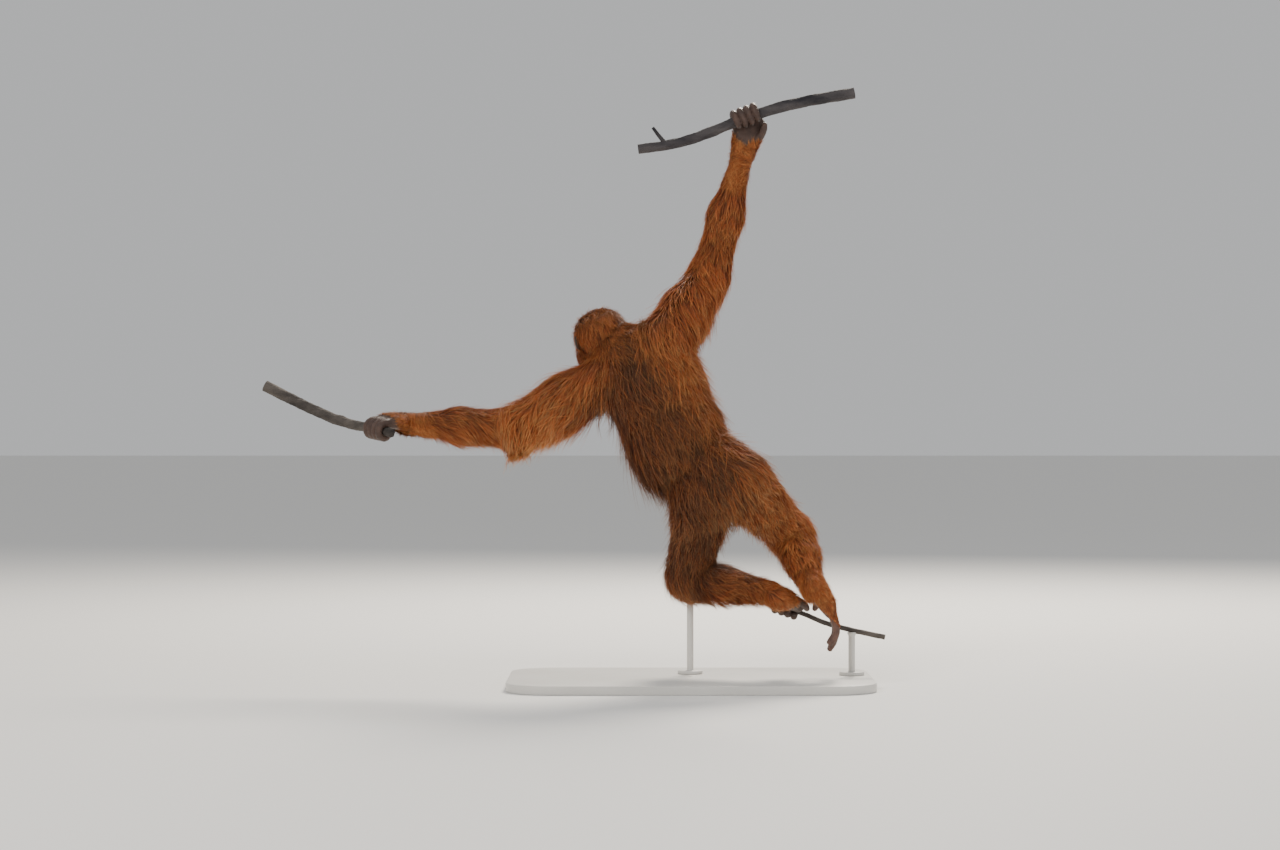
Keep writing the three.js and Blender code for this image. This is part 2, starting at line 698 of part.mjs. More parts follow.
function rightSole(grow) {
  const sizes = [[0, 24, 19], [0.33, 27, 22], [0.67, 33, 18], [1, 37, 13]];
  const stations = sizes.map(([t, wide, thick]) => [t, wide + grow, thick + grow]);
  return toSolid(loft(SOLE_RIGHT, stations, 12, [0, 1, 0], [0.9, 0.6]));
}

// Perches: tubes with slightly uneven bark.
function perchGeometry(route, radii, grow, sides, steps) {
  const curve = new THREE.CatmullRomCurve3(route.map(vec), false, "centripetal");
  const rings = [];
  for (let i = 0; i <= steps; i++) {
    const t = i / steps;
    const along = curve.getTangentAt(t);
    const across = new THREE.Vector3(0, 1, 0).addScaledVector(along, -along.y).normalize();
    const over = new THREE.Vector3().crossVectors(along, across);
    const r = lerp(radii[0], radii[1], t) + grow;
    const push = grow * (i === 0 ? -1 : i === steps ? 1 : 0);
    rings.push(
      Array.from({ length: sides }, (_, j) => {
        const angle = (2 * Math.PI * j) / sides;
        const bump = 1 - 0.04 * (1 + Math.sin(3 * angle + 9 * t + i));
        return curve
          .getPointAt(t)
          .addScaledVector(along, push)
          .addScaledVector(across, r * bump * Math.cos(angle))
          .addScaledVector(over, r * bump * Math.sin(angle))
          .toArray();
      }),
    );
  }
  const middle = (ring) => [0, 1, 2].map((axis) => ring.reduce((sum, p) => sum + p[axis], 0) / sides);
  return skinRings(rings, middle(rings[0]), middle(rings[steps]));
}

function perches(grow) {
  const branch = toSolid(perchGeometry(BRANCH_ROUTE, [BRANCH_R * 0.85, BRANCH_R * 1.02], grow, 9, 13));
  const stub = toSolid(perchGeometry(STUB_ROUTE, [6.5, 4.5], grow, 6, 3));
  return {
    perch_branch: branch.add(stub),
    perch_vine: toSolid(perchGeometry(VINE_ROUTE, [VINE_R * 1.25, VINE_R * 0.95], grow, 9, 9)),
    perch_twig: toSolid(perchGeometry(TWIG_ROUTE, [TWIG_R * 0.9, TWIG_R * 1.05], grow, 7, 9)),
  };
}

// The stand: a flat base with rounded corners, and two turned rods with a collar below and a pad on top.
function baseSolid() {
  const [x, y, r] = [BASE.long / 2 - BASE.bevel, BASE.wide / 2 - BASE.bevel, BASE.round - BASE.bevel];
  const shape = new THREE.Shape();
  shape.moveTo(x - r, -y);
  shape.absarc(x - r, -y + r, r, -Math.PI / 2, 0, false);
  shape.absarc(x - r, y - r, r, 0, Math.PI / 2, false);
  shape.absarc(-x + r, y - r, r, Math.PI / 2, Math.PI, false);
  shape.absarc(-x + r, -y + r, r, Math.PI, 1.5 * Math.PI, false);
  const geometry = new THREE.ExtrudeGeometry(shape, {
    depth: BASE.high - 2 * BASE.bevel,
    bevelThickness: BASE.bevel,
    bevelSize: BASE.bevel,
    bevelSegments: 1,
    curveSegments: 5,
  });
  geometry.translate(0, 0, BASE.bevel);
  return toSolid(geometry);
}

function rodSolid(rod, padR, grow) {
  const bottom = BASE.high + GAP;
  const profile = [
    [0, bottom],
    [COLLAR.r, bottom],
    [COLLAR.r, bottom + COLLAR.high - 3],
    [COLLAR.r - 4, bottom + COLLAR.high],
    [ROD_R, bottom + COLLAR.high],
    [ROD_R, rod.top - PAD.high],
    [padR + grow, rod.top - PAD.high * 0.5 - grow],
    [padR + grow, rod.top + grow],
    [0, rod.top + grow],
  ].map(([r, z]) => new THREE.Vector2(r, z));
  const geometry = new THREE.LatheGeometry(profile, 12);
  geometry.rotateX(Math.PI / 2);
  geometry.translate(rod.at[0], rod.at[1], 0);
  return toSolid(geometry);
}

// The largest closed surface of a solid, without sealed hollows or loose scraps.
function largest(solid) {
  return solid.decompose().reduce((best, piece) => (piece.volume() > best.volume() ? piece : best));
}

// Whether a point lies inside a solid, by counting the faces over it.
function holds(solid, point) {
  const { vertProperties: at, triVerts } = solid.getMesh();
  const [x, y, z] = [point[0] + 0.0137, point[1] + 0.0211, point[2]];
  let over = 0;
  for (let i = 0; i < triVerts.length; i += 3) {
    const [a, b, c] = [3 * triVerts[i], 3 * triVerts[i + 1], 3 * triVerts[i + 2]];
    const area = (at[b] - at[a]) * (at[c + 1] - at[a + 1]) - (at[c] - at[a]) * (at[b + 1] - at[a + 1]);
    if (area === 0) continue;
    const s = ((x - at[a]) * (at[c + 1] - at[a + 1]) - (at[c] - at[a]) * (y - at[a + 1])) / area;
    const t = ((at[b] - at[a]) * (y - at[a + 1]) - (x - at[a]) * (at[b + 1] - at[a + 1])) / area;
    if (s < 0 || t < 0 || s + t > 1) continue;
    if (at[a + 2] + s * (at[b + 2] - at[a + 2]) + t * (at[c + 2] - at[a + 2]) > z) over++;
  }
  return over % 2 === 1;
}

// A thin square plate that parts two lengths of the body.
function plate(at, normal, half) {
  const frame = frameOf(normal, Math.abs(vec(normal).normalize().y) > 0.9 ? [1, 0, 0] : [0, 1, 0]);
  const geometry = new THREE.BoxGeometry(2 * half, 2 * half, GAP);
  geometry.applyMatrix4(new THREE.Matrix4().makeBasis(frame.u, frame.v, frame.w).setPosition(vec(at)));
  return toSolid(geometry);
}

// A plate across a bone, and one that halves the bend of a joint.
const acrossBone = (from, to, share, half) => plate(mix(from, to, share), unit(from, to).toArray(), half);
const acrossJoint = (from, at, to, half) => plate(at, unit(from, at).add(unit(at, to)).toArray(), half);

// An egg round the whole head, whose shell passes through the neck. A larger one parts neck and trunk.
const HEAD_EGG = { middle: [0, 10, -14], half: [94, 134, 116] };
const NECK_DEEP = 28;
function headEgg(extra) {
  const half = HEAD_EGG.half.map((h) => h + extra);
  return toSolid(pebble(inHead(...HEAD_EGG.middle).toArray(), half, SKULL_FRAME, 16, 12));
}

const PLATES = [
  acrossBone(SHOULDER_LEFT, ELBOW_LEFT, 0.27, 125),
  acrossBone(SHOULDER_RIGHT, ELBOW_RIGHT, 0.34, 125),
  acrossJoint(SHOULDER_LEFT, ELBOW_LEFT, WRIST_LEFT, 100),
  acrossJoint(SHOULDER_RIGHT, ELBOW_RIGHT, WRIST_RIGHT, 100),
  acrossBone(WRIST_LEFT, GRIP_LEFT, -0.02, 70),
  acrossBone(WRIST_RIGHT, GRIP_RIGHT, -0.02, 70),
  acrossBone(HIP_LEFT, KNEE_LEFT, 0.3, 135),
  acrossBone(HIP_RIGHT, KNEE_RIGHT, 0.34, 135),
  acrossJoint(HIP_LEFT, KNEE_LEFT, ANKLE_LEFT, 125),
  acrossJoint(HIP_RIGHT, KNEE_RIGHT, ANKLE_RIGHT, 125),
  plate([226, -18, 252], [0.7, -0.1, -0.7], 60),
  plate([330, -40, 268], [0.1, -0.95, -0.3], 90),
  acrossBone(BELLY.at, RUMP.at, 0.5, 210),
  plate([115, 51, 425], [1, 0, 0.25], 110),
];

// A point inside each part of the body.
const BODY_SEEDS = {
  torso: BELLY.at,
  hips: RUMP.at,
  upper_arm_left: mix(SHOULDER_LEFT, ELBOW_LEFT, 0.5),
  upper_arm_right: mix(SHOULDER_RIGHT, ELBOW_RIGHT, 0.5),
  forearm_left: mix(ELBOW_LEFT, WRIST_LEFT, 0.5),
  forearm_right: mix(ELBOW_RIGHT, WRIST_RIGHT, 0.5),
  hand_left: mix(WRIST_LEFT, GRIP_LEFT, 0.12),
  hand_right: mix(WRIST_RIGHT, GRIP_RIGHT, 0.15),
  thigh_left: mix(HIP_LEFT, KNEE_LEFT, 0.6),
  thigh_right: mix(HIP_RIGHT, KNEE_RIGHT, 0.6),
  shin_left: mix(KNEE_LEFT, ANKLE_LEFT, 0.5),
  shin_right: mix(KNEE_RIGHT, ANKLE_RIGHT, 0.5),
  foot_left: HEEL_LEFT,
  foot_right: SOLE_RIGHT[2],
};

const perchSolids = perches(0);
const perchGaps = Object.values(perches(GAP));
const pads = [rodSolid(KNEE_ROD, PAD.r, GAP), rodSolid(TWIG_ROD, 12, GAP)];

function wholeAnimal() {
  const palms = [HAND_RIGHT, HAND_LEFT, FOOT_LEFT].map((grip) => palmSolid(grip, 0));
  return wasm.Manifold.union([bodySolid(0), headFeatures(headSolid()), ...palms, rightSole(0)]);
}

function bodyNodes() {
  const sides = [-1, 1];
  const sockets = sides.flatMap((s) => [eyeball(s, GAP), ear(s, GAP, false)]);
  const cuts = [...perchGaps, ...pads, ...sockets];
  const whole = largest(wholeAnimal()).subtract(wasm.Manifold.union(cuts));
  const nodes = {
    head: largest(whole.intersect(headEgg(0))),
    neck: largest(whole.intersect(headEgg(GAP + NECK_DEEP)).subtract(headEgg(GAP))),
  };
  const rest = whole.subtract(headEgg(2 * GAP + NECK_DEEP));
  const pieces = rest.subtract(wasm.Manifold.union(PLATES)).decompose();
  for (const [name, seed] of Object.entries(BODY_SEEDS)) {
    nodes[name] = pieces.find((piece) => holds(piece, seed));
  }
  return nodes;
}

function digitNodes() {
  const nodes = {};
  const around = wasm.Manifold.union([bodySolid(GAP), ...perchGaps]);
  const keep = (name, digit, palm) => {
    nodes[name] = largest(digit.subtract(palm).subtract(around));
  };
  const grips = [
    [HAND_RIGHT, "finger_right", "thumb_right", THUMB_RIGHT_ROUTE],
    [HAND_LEFT, "finger_left", "thumb_left", THUMB_LEFT_ROUTE],
    [FOOT_LEFT, "toe_left", "hallux_left", HALLUX_LEFT_ROUTE],
  ];
  for (const [grip, finger, thumb, route] of grips) {
    const palm = palmSolid(grip, GAP);
    gripDigits(grip).forEach((digit, i) => keep(`${finger}_${i + 1}`, digit, palm));
    keep(thumb, looseDigit(route, 10, 7.5, gripFrame(grip).axis.toArray(), grip.thumbNail), palm);
  }
  const sole = rightSole(GAP);
  TOES_RIGHT.forEach((route, i) => {
    keep(`toe_right_${i + 1}`, looseDigit(route, 8.4, 7.2, [0, 1, 0], [1, 0, 0]), sole);
  });
  keep("hallux_right", looseDigit(HALLUX_RIGHT_ROUTE, 10, 7.8, [0, 1, 0], [0, 0, 1]), sole);
  return nodes;
}

const FINISH = {
  coat: { color: 0xa8562a, roughness: 0.9 },
  skin: { color: 0x3a3130, roughness: 0.75 },
  eye: { color: 0x24140c, roughness: 0.1 },
  bark: { color: 0x4a4238, roughness: 0.9 },
  stand: { color: 0xcfc8bb, roughness: 0.45 },
};

const orangutan = new THREE.Group();
function addNode(name, solid, finish) {
  const material = new THREE.MeshStandardMaterial({ ...FINISH[finish], metalness: 0 });
  const mesh = new THREE.Mesh(toGeometry(solid), material);
  mesh.name = name;
  orangutan.add(mesh);
}

for (const [name, solid] of Object.entries(bodyNodes())) {
  addNode(name, solid, /hand|foot/.test(name) ? "skin" : "coat");
}
for (const [name, solid] of Object.entries(digitNodes())) addNode(name, solid, "skin");
for (const [side, s] of [["right", 1], ["left", -1]]) {
  addNode(`eye_${side}`, eyeball(s, 0), "eye");
  addNode(`ear_${side}`, ear(s, 0, true), "skin");
}
for (const [name, solid] of Object.entries(perchSolids)) addNode(name, solid, "bark");
addNode("stand_base", baseSolid(), "stand");
addNode("stand_rod_knee", rodSolid(KNEE_ROD, PAD.r, 0), "stand");
addNode("stand_rod_twig", largest(rodSolid(TWIG_ROD, 12, 0).subtract(perchGaps[2])), "stand");

export default orangutan;
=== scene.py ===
"""An adult orangutan, life size, stretched between three cut branches on a display stand.

Written for Blender 4.5. Lengths are millimetres until a mesh is made from them.
"""

import math

import bpy
import numpy as np
from mathutils import Matrix, kdtree


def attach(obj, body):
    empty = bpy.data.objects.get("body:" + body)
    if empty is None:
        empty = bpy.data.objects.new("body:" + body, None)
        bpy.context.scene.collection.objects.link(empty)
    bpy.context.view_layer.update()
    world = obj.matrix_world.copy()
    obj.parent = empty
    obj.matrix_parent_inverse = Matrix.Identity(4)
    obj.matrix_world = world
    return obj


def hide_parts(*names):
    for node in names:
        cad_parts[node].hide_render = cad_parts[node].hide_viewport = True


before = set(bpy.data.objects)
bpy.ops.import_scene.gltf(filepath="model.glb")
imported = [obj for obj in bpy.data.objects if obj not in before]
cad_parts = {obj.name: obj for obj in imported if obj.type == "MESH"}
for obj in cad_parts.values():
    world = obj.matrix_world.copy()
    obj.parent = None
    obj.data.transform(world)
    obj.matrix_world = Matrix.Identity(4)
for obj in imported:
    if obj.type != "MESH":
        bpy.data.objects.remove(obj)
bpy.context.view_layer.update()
MM = 0.001
FULL_TURN = 2 * math.pi
FAR = 400.0
rng = np.random.default_rng(11)

# Joints of the skeleton, in millimetres.
SHOULDER_LEFT = (-215, 25, 835)
SHOULDER_RIGHT = (-68, -25, 925)
ELBOW_LEFT = (-478, 90, 698)
ELBOW_RIGHT = (58, 150, 1125)
WRIST_LEFT = (-782, 168, 708)
WRIST_RIGHT = (148, 182, 1445)
HIP_LEFT = (43, 15, 527)
HIP_RIGHT = (140, -15, 549)
KNEE_LEFT = (-4, 90, 286)
KNEE_RIGHT = (283, 115, 402)
ANKLE_LEFT = (218, -18, 252)
HEEL_LEFT = (240, -46, 238)
ANKLE_RIGHT = (332, -56, 262)
NECK_BASE = (-150, 5, 893)
SKULL = (-240, 66, 940)
CHEST = ((-102, 10, 812), (124, 102, 150))
BELLY = ((-42, 26, 685), (114, 108, 135))
RUMP = ((70, 4, 560), (98, 84, 100))

# Coat: depth over the skin, length of the hair, pull of gravity on its lie, and how far it hangs free.
COAT = {
    "trunk": (29, 104, 0.15, 16),
    "shoulder": (28, 112, 0.4, 18),
    "arm": (25, 96, 0.75, 20),
    "forearm": (15, 74, 0.45, 12),
    "thigh": (21, 82, 0.3, 14),
    "shin": (15, 60, 0.25, 10),
    "head": (14, 42, 0.3, 3),
    "paw": (6, 27, 0.1, 2),
}
# Where longer hair hangs in a tuft: middle, reach and extra fall.
HANGING_TUFTS = (
    ((-482, 92, 664), 60, 20),
    ((92, 150, 1090), 60, 40),
    ((-300, 40, 745), 70, 16),
    ((-182, 20, 690), 62, 26),
    ((-140, 20, 610), 66, 44),
    ((-66, 10, 545), 60, 36),
    ((-60, 30, 400), 60, 14),
)

GRIP_RIGHT = (157, 150, 1548)
GRIP_LEFT = (-850, 112, 690)
GRIP_FOOT = (262, 45, 205)
BRANCH_R, VINE_R, TWIG_R = 16, 13, 7
BRANCH_ROUTE = (
    (-140, 158, 1463), (-60, 154, 1473), (27, 151, 1496), GRIP_RIGHT, (297, 152, 1588), (455, 156, 1617),
)
STUB_ROUTE = ((-62, 154, 1474), (-84, 150, 1500), (-100, 146, 1521))
VINE_ROUTE = ((-1180, 262, 812), (-1053, 240, 750), (-958, 196, 712), GRIP_LEFT, (-812, 66, 681))
TWIG_ROUTE = ((196, 44, 226), GRIP_FOOT, (302, 46, 193), (367, 47, 166), (440, 46, 146), (530, 42, 127))


def vec(p):
    return np.asarray(p, dtype=float)


def unit(v):
    v = vec(v)
    return v / np.maximum(np.linalg.norm(v, axis=-1, keepdims=True), 1e-9)


def mix(a, b, t):
    return vec(a) + (vec(b) - vec(a)) * t


def smooth(low, high, x):
    t = np.clip((x - low) / (high - low), 0, 1)
    return t * t * (3 - 2 * t)


def frame_of(up, forward):
    w = unit(up)
    v = vec(forward) - w * np.dot(forward, w)
    v = unit(v)
    return np.array([np.cross(v, w), v, w])


SPINE_DOWN = unit(vec(RUMP[0]) - vec(NECK_BASE))
TRUNK_FRAME = frame_of(-SPINE_DOWN, (0.17, 0.98, 0))
SKULL_FRAME = frame_of((-0.26, -0.02, 0.96), (-0.37, 0.92, -0.05))


def in_head(u, v, w):
    return vec(SKULL) + u * SKULL_FRAME[0] + v * SKULL_FRAME[1] + w * SKULL_FRAME[2]


# Distances in millimetres from many points to simple forms, and their smooth union.
def egg(points, centre, half, axes):
    local = (points - vec(centre)) @ axes.T
    half = vec(half)
    k0 = np.linalg.norm(local / half, axis=-1)
    k1 = np.linalg.norm(local / (half * half), axis=-1)
    return k0 * (k0 - 1) / np.maximum(k1, 1e-9)


def bone(points, a, b, r0, r1):
    a, b = vec(a), vec(b)
    along = b - a
    offset = points - a
    t = np.clip(offset @ along / (along @ along), 0, 1)
    return np.linalg.norm(offset - t[..., None] * along, axis=-1) - (r0 + (r1 - r0) * t)


def melt(distances, soft):
    total = None
    for d in distances:
        total = -d / soft if total is None else np.logaddexp(total, -d / soft)
    return -soft * total


def limbs():
    """The forms of arms and legs: kind of hair, its lie, both ends and their radii."""
    made = []
    for shoulder, elbow, wrist in (
        (SHOULDER_LEFT, ELBOW_LEFT, WRIST_LEFT),
        (SHOULDER_RIGHT, ELBOW_RIGHT, WRIST_RIGHT),
    ):
        middle = mix(elbow, wrist, 0.5)
        half = mix(shoulder, elbow, 0.45)
        raised = elbow[2] > shoulder[2]
        out = unit((0.32, 0.05, -1)) if raised else unit(vec(elbow) - vec(shoulder))
        back = unit(vec(elbow) - vec(wrist))
        made.append(("shoulder", out, shoulder, half, 60, 51))
        made.append(("arm", out, half, elbow, 51, 40))
        made.append(("forearm", back, elbow, middle, 41, 37))
        made.append(("forearm", back, middle, wrist, 37, 23))
    for hip, knee, ankle in ((HIP_LEFT, KNEE_LEFT, ANKLE_LEFT), (HIP_RIGHT, KNEE_RIGHT, ANKLE_RIGHT)):
        middle = mix(knee, ankle, 0.45)
        down, out = unit(vec(knee) - vec(hip)), unit(vec(ankle) - vec(knee))
        made.append(("thigh", down, hip, knee, 68, 43))
        made.append(("shin", out, knee, middle, 43, 37))
        made.append(("shin", out, middle, ankle, 37, 25))
    return made


LIMBS = limbs()
TRUNK = [CHEST, BELLY, RUMP]
NECK = ("head", unit(vec(NECK_BASE) - vec(SKULL)), NECK_BASE, SKULL, 66, 56)


def body_parts(points):
    """Each form's distance, kind of hair and the way its hair lies."""
    for centre, half in TRUNK:
        yield egg(points, centre, half, TRUNK_FRAME), "trunk", SPINE_DOWN
    for kind, lie, a, b, r0, r1 in [NECK, *LIMBS]:
        yield bone(points, a, b, r0, r1), kind, lie


BODY_BLEND, HEAD_BLEND, SOCKET_BLEND = 13, 5, 3


def body_distance(points):
    return melt((d for d, _, _ in body_parts(points)), BODY_BLEND)


# Head, in the skull's own frame: to its right, forward and up.
EYE = (19, 65, 2)
EYE_R = 11.5
EYE_HOLLOW_R = 15
MOUTH_UP = -64
HEAD_EGGS = [
    ((0, -6, 10), (66, 80, 62)),
    ((0, 40, -22), (53, 40, 50)),
    ((0, 80, -58), (39, 45, 32)),
    ((0, 97, -49), (30, 29, 20)),
    ((0, 88, -81), (27, 26, 15)),
    ((0, 46, -70), (45, 48, 30)),
    ((0, 84, -25), (10, 15, 14)),
]
for side in (-1, 1):
    HEAD_EGGS += [
        ((side * 19, 62, 17), (22, 12, 8)),
        ((side * 40, 42, -36), (20, 26, 28)),
        ((side * 8, 97, -31), (8, 7, 6)),
    ]


def head_distance(points):
    d = melt((egg(points, in_head(*c), h, SKULL_FRAME) for c, h in HEAD_EGGS), HEAD_BLEND)
    for side in (-1, 1):
        hollow = EYE_HOLLOW_R - np.linalg.norm(points - in_head(side * 20, EYE[1] + 22, EYE[2]), axis=-1)
        d = melt_max(d, hollow, SOCKET_BLEND)
    return d


def melt_max(a, b, soft):
    return soft * np.logaddexp(a / soft, b / soft)


def near_only(points, low, high, distance):
    """A distance that is worked out inside a box and taken as far outside it."""
    d = np.full(len(points), FAR)
    here = np.all((points > low) & (points < high), axis=1)
    if here.any():
        d[here] = distance(points[here])
    return d


def paw_distances(points):
    for (bones, digits, limb_bone), (low, high) in zip(EXTREMITIES.values(), PAW_BOXES):
        yield near_only(points, low, high, lambda p: extremity_distance(p, bones, digits, limb_bone))


def animal_distance(points):
    d = np.minimum(body_distance(points), head_distance(points))
    for paw in paw_distances(points):
        d = np.minimum(d, paw)
    return d


MOST_POINTS = 400000


def surface(distance, low, high, cell):
    """A closed surface of quads where a distance is zero, found on a grid of cells."""
    axes = [np.arange(low[i], high[i] + cell, cell) for i in range(3)]
    shape = tuple(len(a) for a in axes)
    value = np.empty(shape)
    rows = np.stack(np.meshgrid(axes[1], axes[2], indexing="ij"), axis=-1).reshape(-1, 2)
    step = max(1, MOST_POINTS // len(rows))
    for i in range(0, shape[0], step):
        xs = axes[0][i : i + step]
        points = np.concatenate(
            [np.repeat(xs, len(rows))[:, None], np.tile(rows, (len(xs), 1))], axis=1
        )
        value[i : i + step] = distance(points).reshape(len(xs), shape[1], shape[2])
    inside = value < 0
    count = np.zeros(tuple(n - 1 for n in shape), dtype=int)
    corners = [(a, b, c) for a in (0, 1) for b in (0, 1) for c in (0, 1)]
    for a, b, c in corners:
        count += inside[a : shape[0] - 1 + a, b : shape[1] - 1 + b, c : shape[2] - 1 + c]
    cells = np.argwhere((count > 0) & (count < 8))
    at_corner = {k: value[cells[:, 0] + k[0], cells[:, 1] + k[1], cells[:, 2] + k[2]] for k in corners}
    total = np.zeros((len(cells), 3))
    hits = np.zeros(len(cells))
    for k in corners:
        for axis in range(3):
            if k[axis]:
                continue
            other = tuple(1 if i == axis else k[i] for i in range(3))
            va, vb = at_corner[k], at_corner[other]
            cross = (va < 0) != (vb < 0)
            place = np.tile(np.array(k, dtype=float), (len(cells), 1))
            place[:, axis] = np.where(cross, va / np.where(cross, va - vb, 1), 0)
            total += np.where(cross[:, None], place, 0)
            hits += cross
    verts = (cells + total / hits[:, None]) * cell + vec(low)
    ids = np.full(count.shape, -1)
    ids[cells[:, 0], cells[:, 1], cells[:, 2]] = np.arange(len(cells))
    quads = []
    for axis in range(3):
        p, q = (axis + 1) % 3, (axis + 2) % 3
        here = [slice(1, n - 1) for n in shape]
        ahead = list(here)
        here[axis] = slice(1, shape[axis] - 2)
        ahead[axis] = slice(2, shape[axis] - 1)
        a, b = inside[tuple(here)], inside[tuple(ahead)]
        at = np.argwhere(a != b) + 1
        out = a[a != b]
        ring = []
        for m, n in ((1, 1), (0, 1), (0, 0), (1, 0)):
            cell_at = at.copy()
            cell_at[:, p] -= m
            cell_at[:, q] -= n
            ring.append(ids[cell_at[:, 0], cell_at[:, 1], cell_at[:, 2]])
        ring = np.stack(ring, axis=1)
        quads.append(np.where(out[:, None], ring, ring[:, ::-1]))
    return verts, np.concatenate(quads)


def new_piece(name, verts, faces, material, slot, shade_smooth=True):
    """A mesh object from millimetre points and faces of one size, that rides on the root."""
    mesh = bpy.data.meshes.new(name)
    verts = np.asarray(verts, dtype=np.float32) * MM
    faces = np.asarray(faces, dtype=np.int32)
    mesh.vertices.add(len(verts))
    mesh.vertices.foreach_set("co", verts.ravel())
    mesh.loops.add(faces.size)
    mesh.loops.foreach_set("vertex_index", faces.ravel())
    mesh.polygons.add(len(faces))
    mesh.polygons.foreach_set("loop_start", np.arange(0, faces.size, faces.shape[1], dtype=np.int32))
    mesh.polygons.foreach_set("use_smooth", np.full(len(faces), shade_smooth))
    mesh.update(calc_edges=True)
    mesh.materials.append(material)
    piece = bpy.data.objects.new(name, mesh)
    bpy.context.scene.collection.objects.link(piece)
    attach(piece, "root")
    return piece


def paint(piece, name, values):
    """Four numbers for each point of a mesh, which its material reads."""
    layer = piece.data.attributes.new(name, "FLOAT_COLOR", "POINT")
    layer.data.foreach_set("color", np.asarray(values, dtype=np.float32).ravel())


def ring_faces(rings, around):
    """Quads between closed rings of points that follow one another."""
    faces = []
    for i in range(rings - 1):
        for j in range(around):
            k = (j + 1) % around
            faces.append((i * around + j, i * around + k, (i + 1) * around + k, (i + 1) * around + j))
    return faces


# Materials
def nodes_of(tree):
    def add(kind, **sockets):
        node = tree.nodes.new(kind)
        for key, value in sockets.items():
            setattr(node, key, value)
        return node

    return add


def effect_group(name, inputs, outputs, fill):
    """A shader node group with named inputs and outputs."""
    group = bpy.data.node_groups.new(name, "ShaderNodeTree")
    for label, kind, default in inputs:
        socket = group.interface.new_socket(name=label, in_out="INPUT", socket_type=kind)
        if default is not None:
            socket.default_value = default
    for label, kind in outputs:
        group.interface.new_socket(name=label, in_out="OUTPUT", socket_type=kind)
    source = group.nodes.new("NodeGroupInput")
    sink = group.nodes.new("NodeGroupOutput")
    fill(group, source, sink)
    return group


def fill_mottle(group, source, sink):
    """Two colours mixed by soft noise, and a fine noise for bumps."""
    add, link = nodes_of(group), group.links.new
    place = add("ShaderNodeTexCoord")
    stretch = add("ShaderNodeVectorMath", operation="MULTIPLY")
    link(place.outputs["Object"], stretch.inputs[0])
    link(source.outputs["Stretch"], stretch.inputs[1])
    broad = add("ShaderNodeTexNoise")
    fine = add("ShaderNodeTexNoise")
    for noise, scale, detail in ((broad, "Broad scale", 3), (fine, "Fine scale", 6)):
        noise.inputs["Detail"].default_value = detail
        noise.inputs["Roughness"].default_value = 0.62
        link(stretch.outputs[0], noise.inputs["Vector"])
        link(source.outputs[scale], noise.inputs["Scale"])
    sharpen = add("ShaderNodeMapRange")
    sharpen.inputs["From Min"].default_value = 0.32
    sharpen.inputs["From Max"].default_value = 0.68
    link(broad.outputs["Fac"], sharpen.inputs["Value"])
    colours = add("ShaderNodeMix", data_type="RGBA")
    link(sharpen.outputs["Result"], colours.inputs["Factor"])
    link(source.outputs["Colour A"], colours.inputs["A"])
    link(source.outputs["Colour B"], colours.inputs["B"])
    link(colours.outputs["Result"], sink.inputs["Colour"])
    link(fine.outputs["Fac"], sink.inputs["Grain"])
    link(sharpen.outputs["Result"], sink.inputs["Mask"])


MOTTLE = effect_group(
    "mottle",
    [
        ("Colour A", "NodeSocketColor", (0.5, 0.5, 0.5, 1)),
        ("Colour B", "NodeSocketColor", (0.4, 0.4, 0.4, 1)),
        ("Broad scale", "NodeSocketFloat", 10.0),
        ("Fine scale", "NodeSocketFloat", 200.0),
        ("Stretch", "NodeSocketVector", (1, 1, 1)),
    ],
    [("Colour", "NodeSocketColor"), ("Grain", "NodeSocketFloat"), ("Mask", "NodeSocketFloat")],
    fill_mottle,
)


def new_material(name, roughness, specular=0.5, coat=0.0, sheen=0.0):
    material = bpy.data.materials.new(name)
    material.use_nodes = True
    shader = material.node_tree.nodes["Principled BSDF"]
    shader.inputs["Roughness"].default_value = roughness
    shader.inputs["Specular IOR Level"].default_value = specular
    shader.inputs["Coat Weight"].default_value = coat
    shader.inputs["Coat Roughness"].default_value = 0.08
    shader.inputs["Sheen Weight"].default_value = sheen
    return material, shader


def place_group(material, group, **values):
    node = material.node_tree.nodes.new("ShaderNodeGroup")
    node.node_tree = group
    for label, value in values.items():
        node.inputs[label.replace("_", " ")].default_value = value
    return node


def bump(material, shader, height, strength, distance):
    node = material.node_tree.nodes.new("ShaderNodeBump")
    node.inputs["Strength"].default_value = strength
    node.inputs["Distance"].default_value = distance
    material.node_tree.links.new(height, node.inputs["Height"])
    material.node_tree.links.new(node.outputs["Normal"], shader.inputs["Normal"])


def painted(material, name):
    """The three painted numbers of a point."""
    add, link = nodes_of(material.node_tree), material.node_tree.links.new
    layer = add("ShaderNodeAttribute", attribute_name=name)
    split = add("ShaderNodeSeparateColor")
    link(layer.outputs["Color"], split.inputs["Color"])
    return split.outputs


def blend_colours(material, factor, a, b):
    """A mix node. Each colour is an output socket or four plain numbers."""
    node = material.node_tree.nodes.new("ShaderNodeMix")
    node.data_type = "RGBA"
    material.node_tree.links.new(factor, node.inputs["Factor"])
    for label, colour in (("A", a), ("B", b)):
        if isinstance(colour, tuple):
            node.inputs[label].default_value = colour
        else:
            material.node_tree.links.new(colour, node.inputs[label])
    return node.outputs["Result"]


def colour_ramp(material, factor, stops):
    """Colours along a ramp, given as place and colour, which a socket drives."""
    ramp = material.node_tree.nodes.new("ShaderNodeValToRGB")
    elements = ramp.color_ramp.elements
    while len(elements) < len(stops):
        elements.new(0.5)
    for element, (place, colour) in zip(elements, stops):
        element.position, element.color = place, (*colour, 1)
    material.node_tree.links.new(factor, ramp.inputs["Fac"])
    return ramp.outputs["Color"]


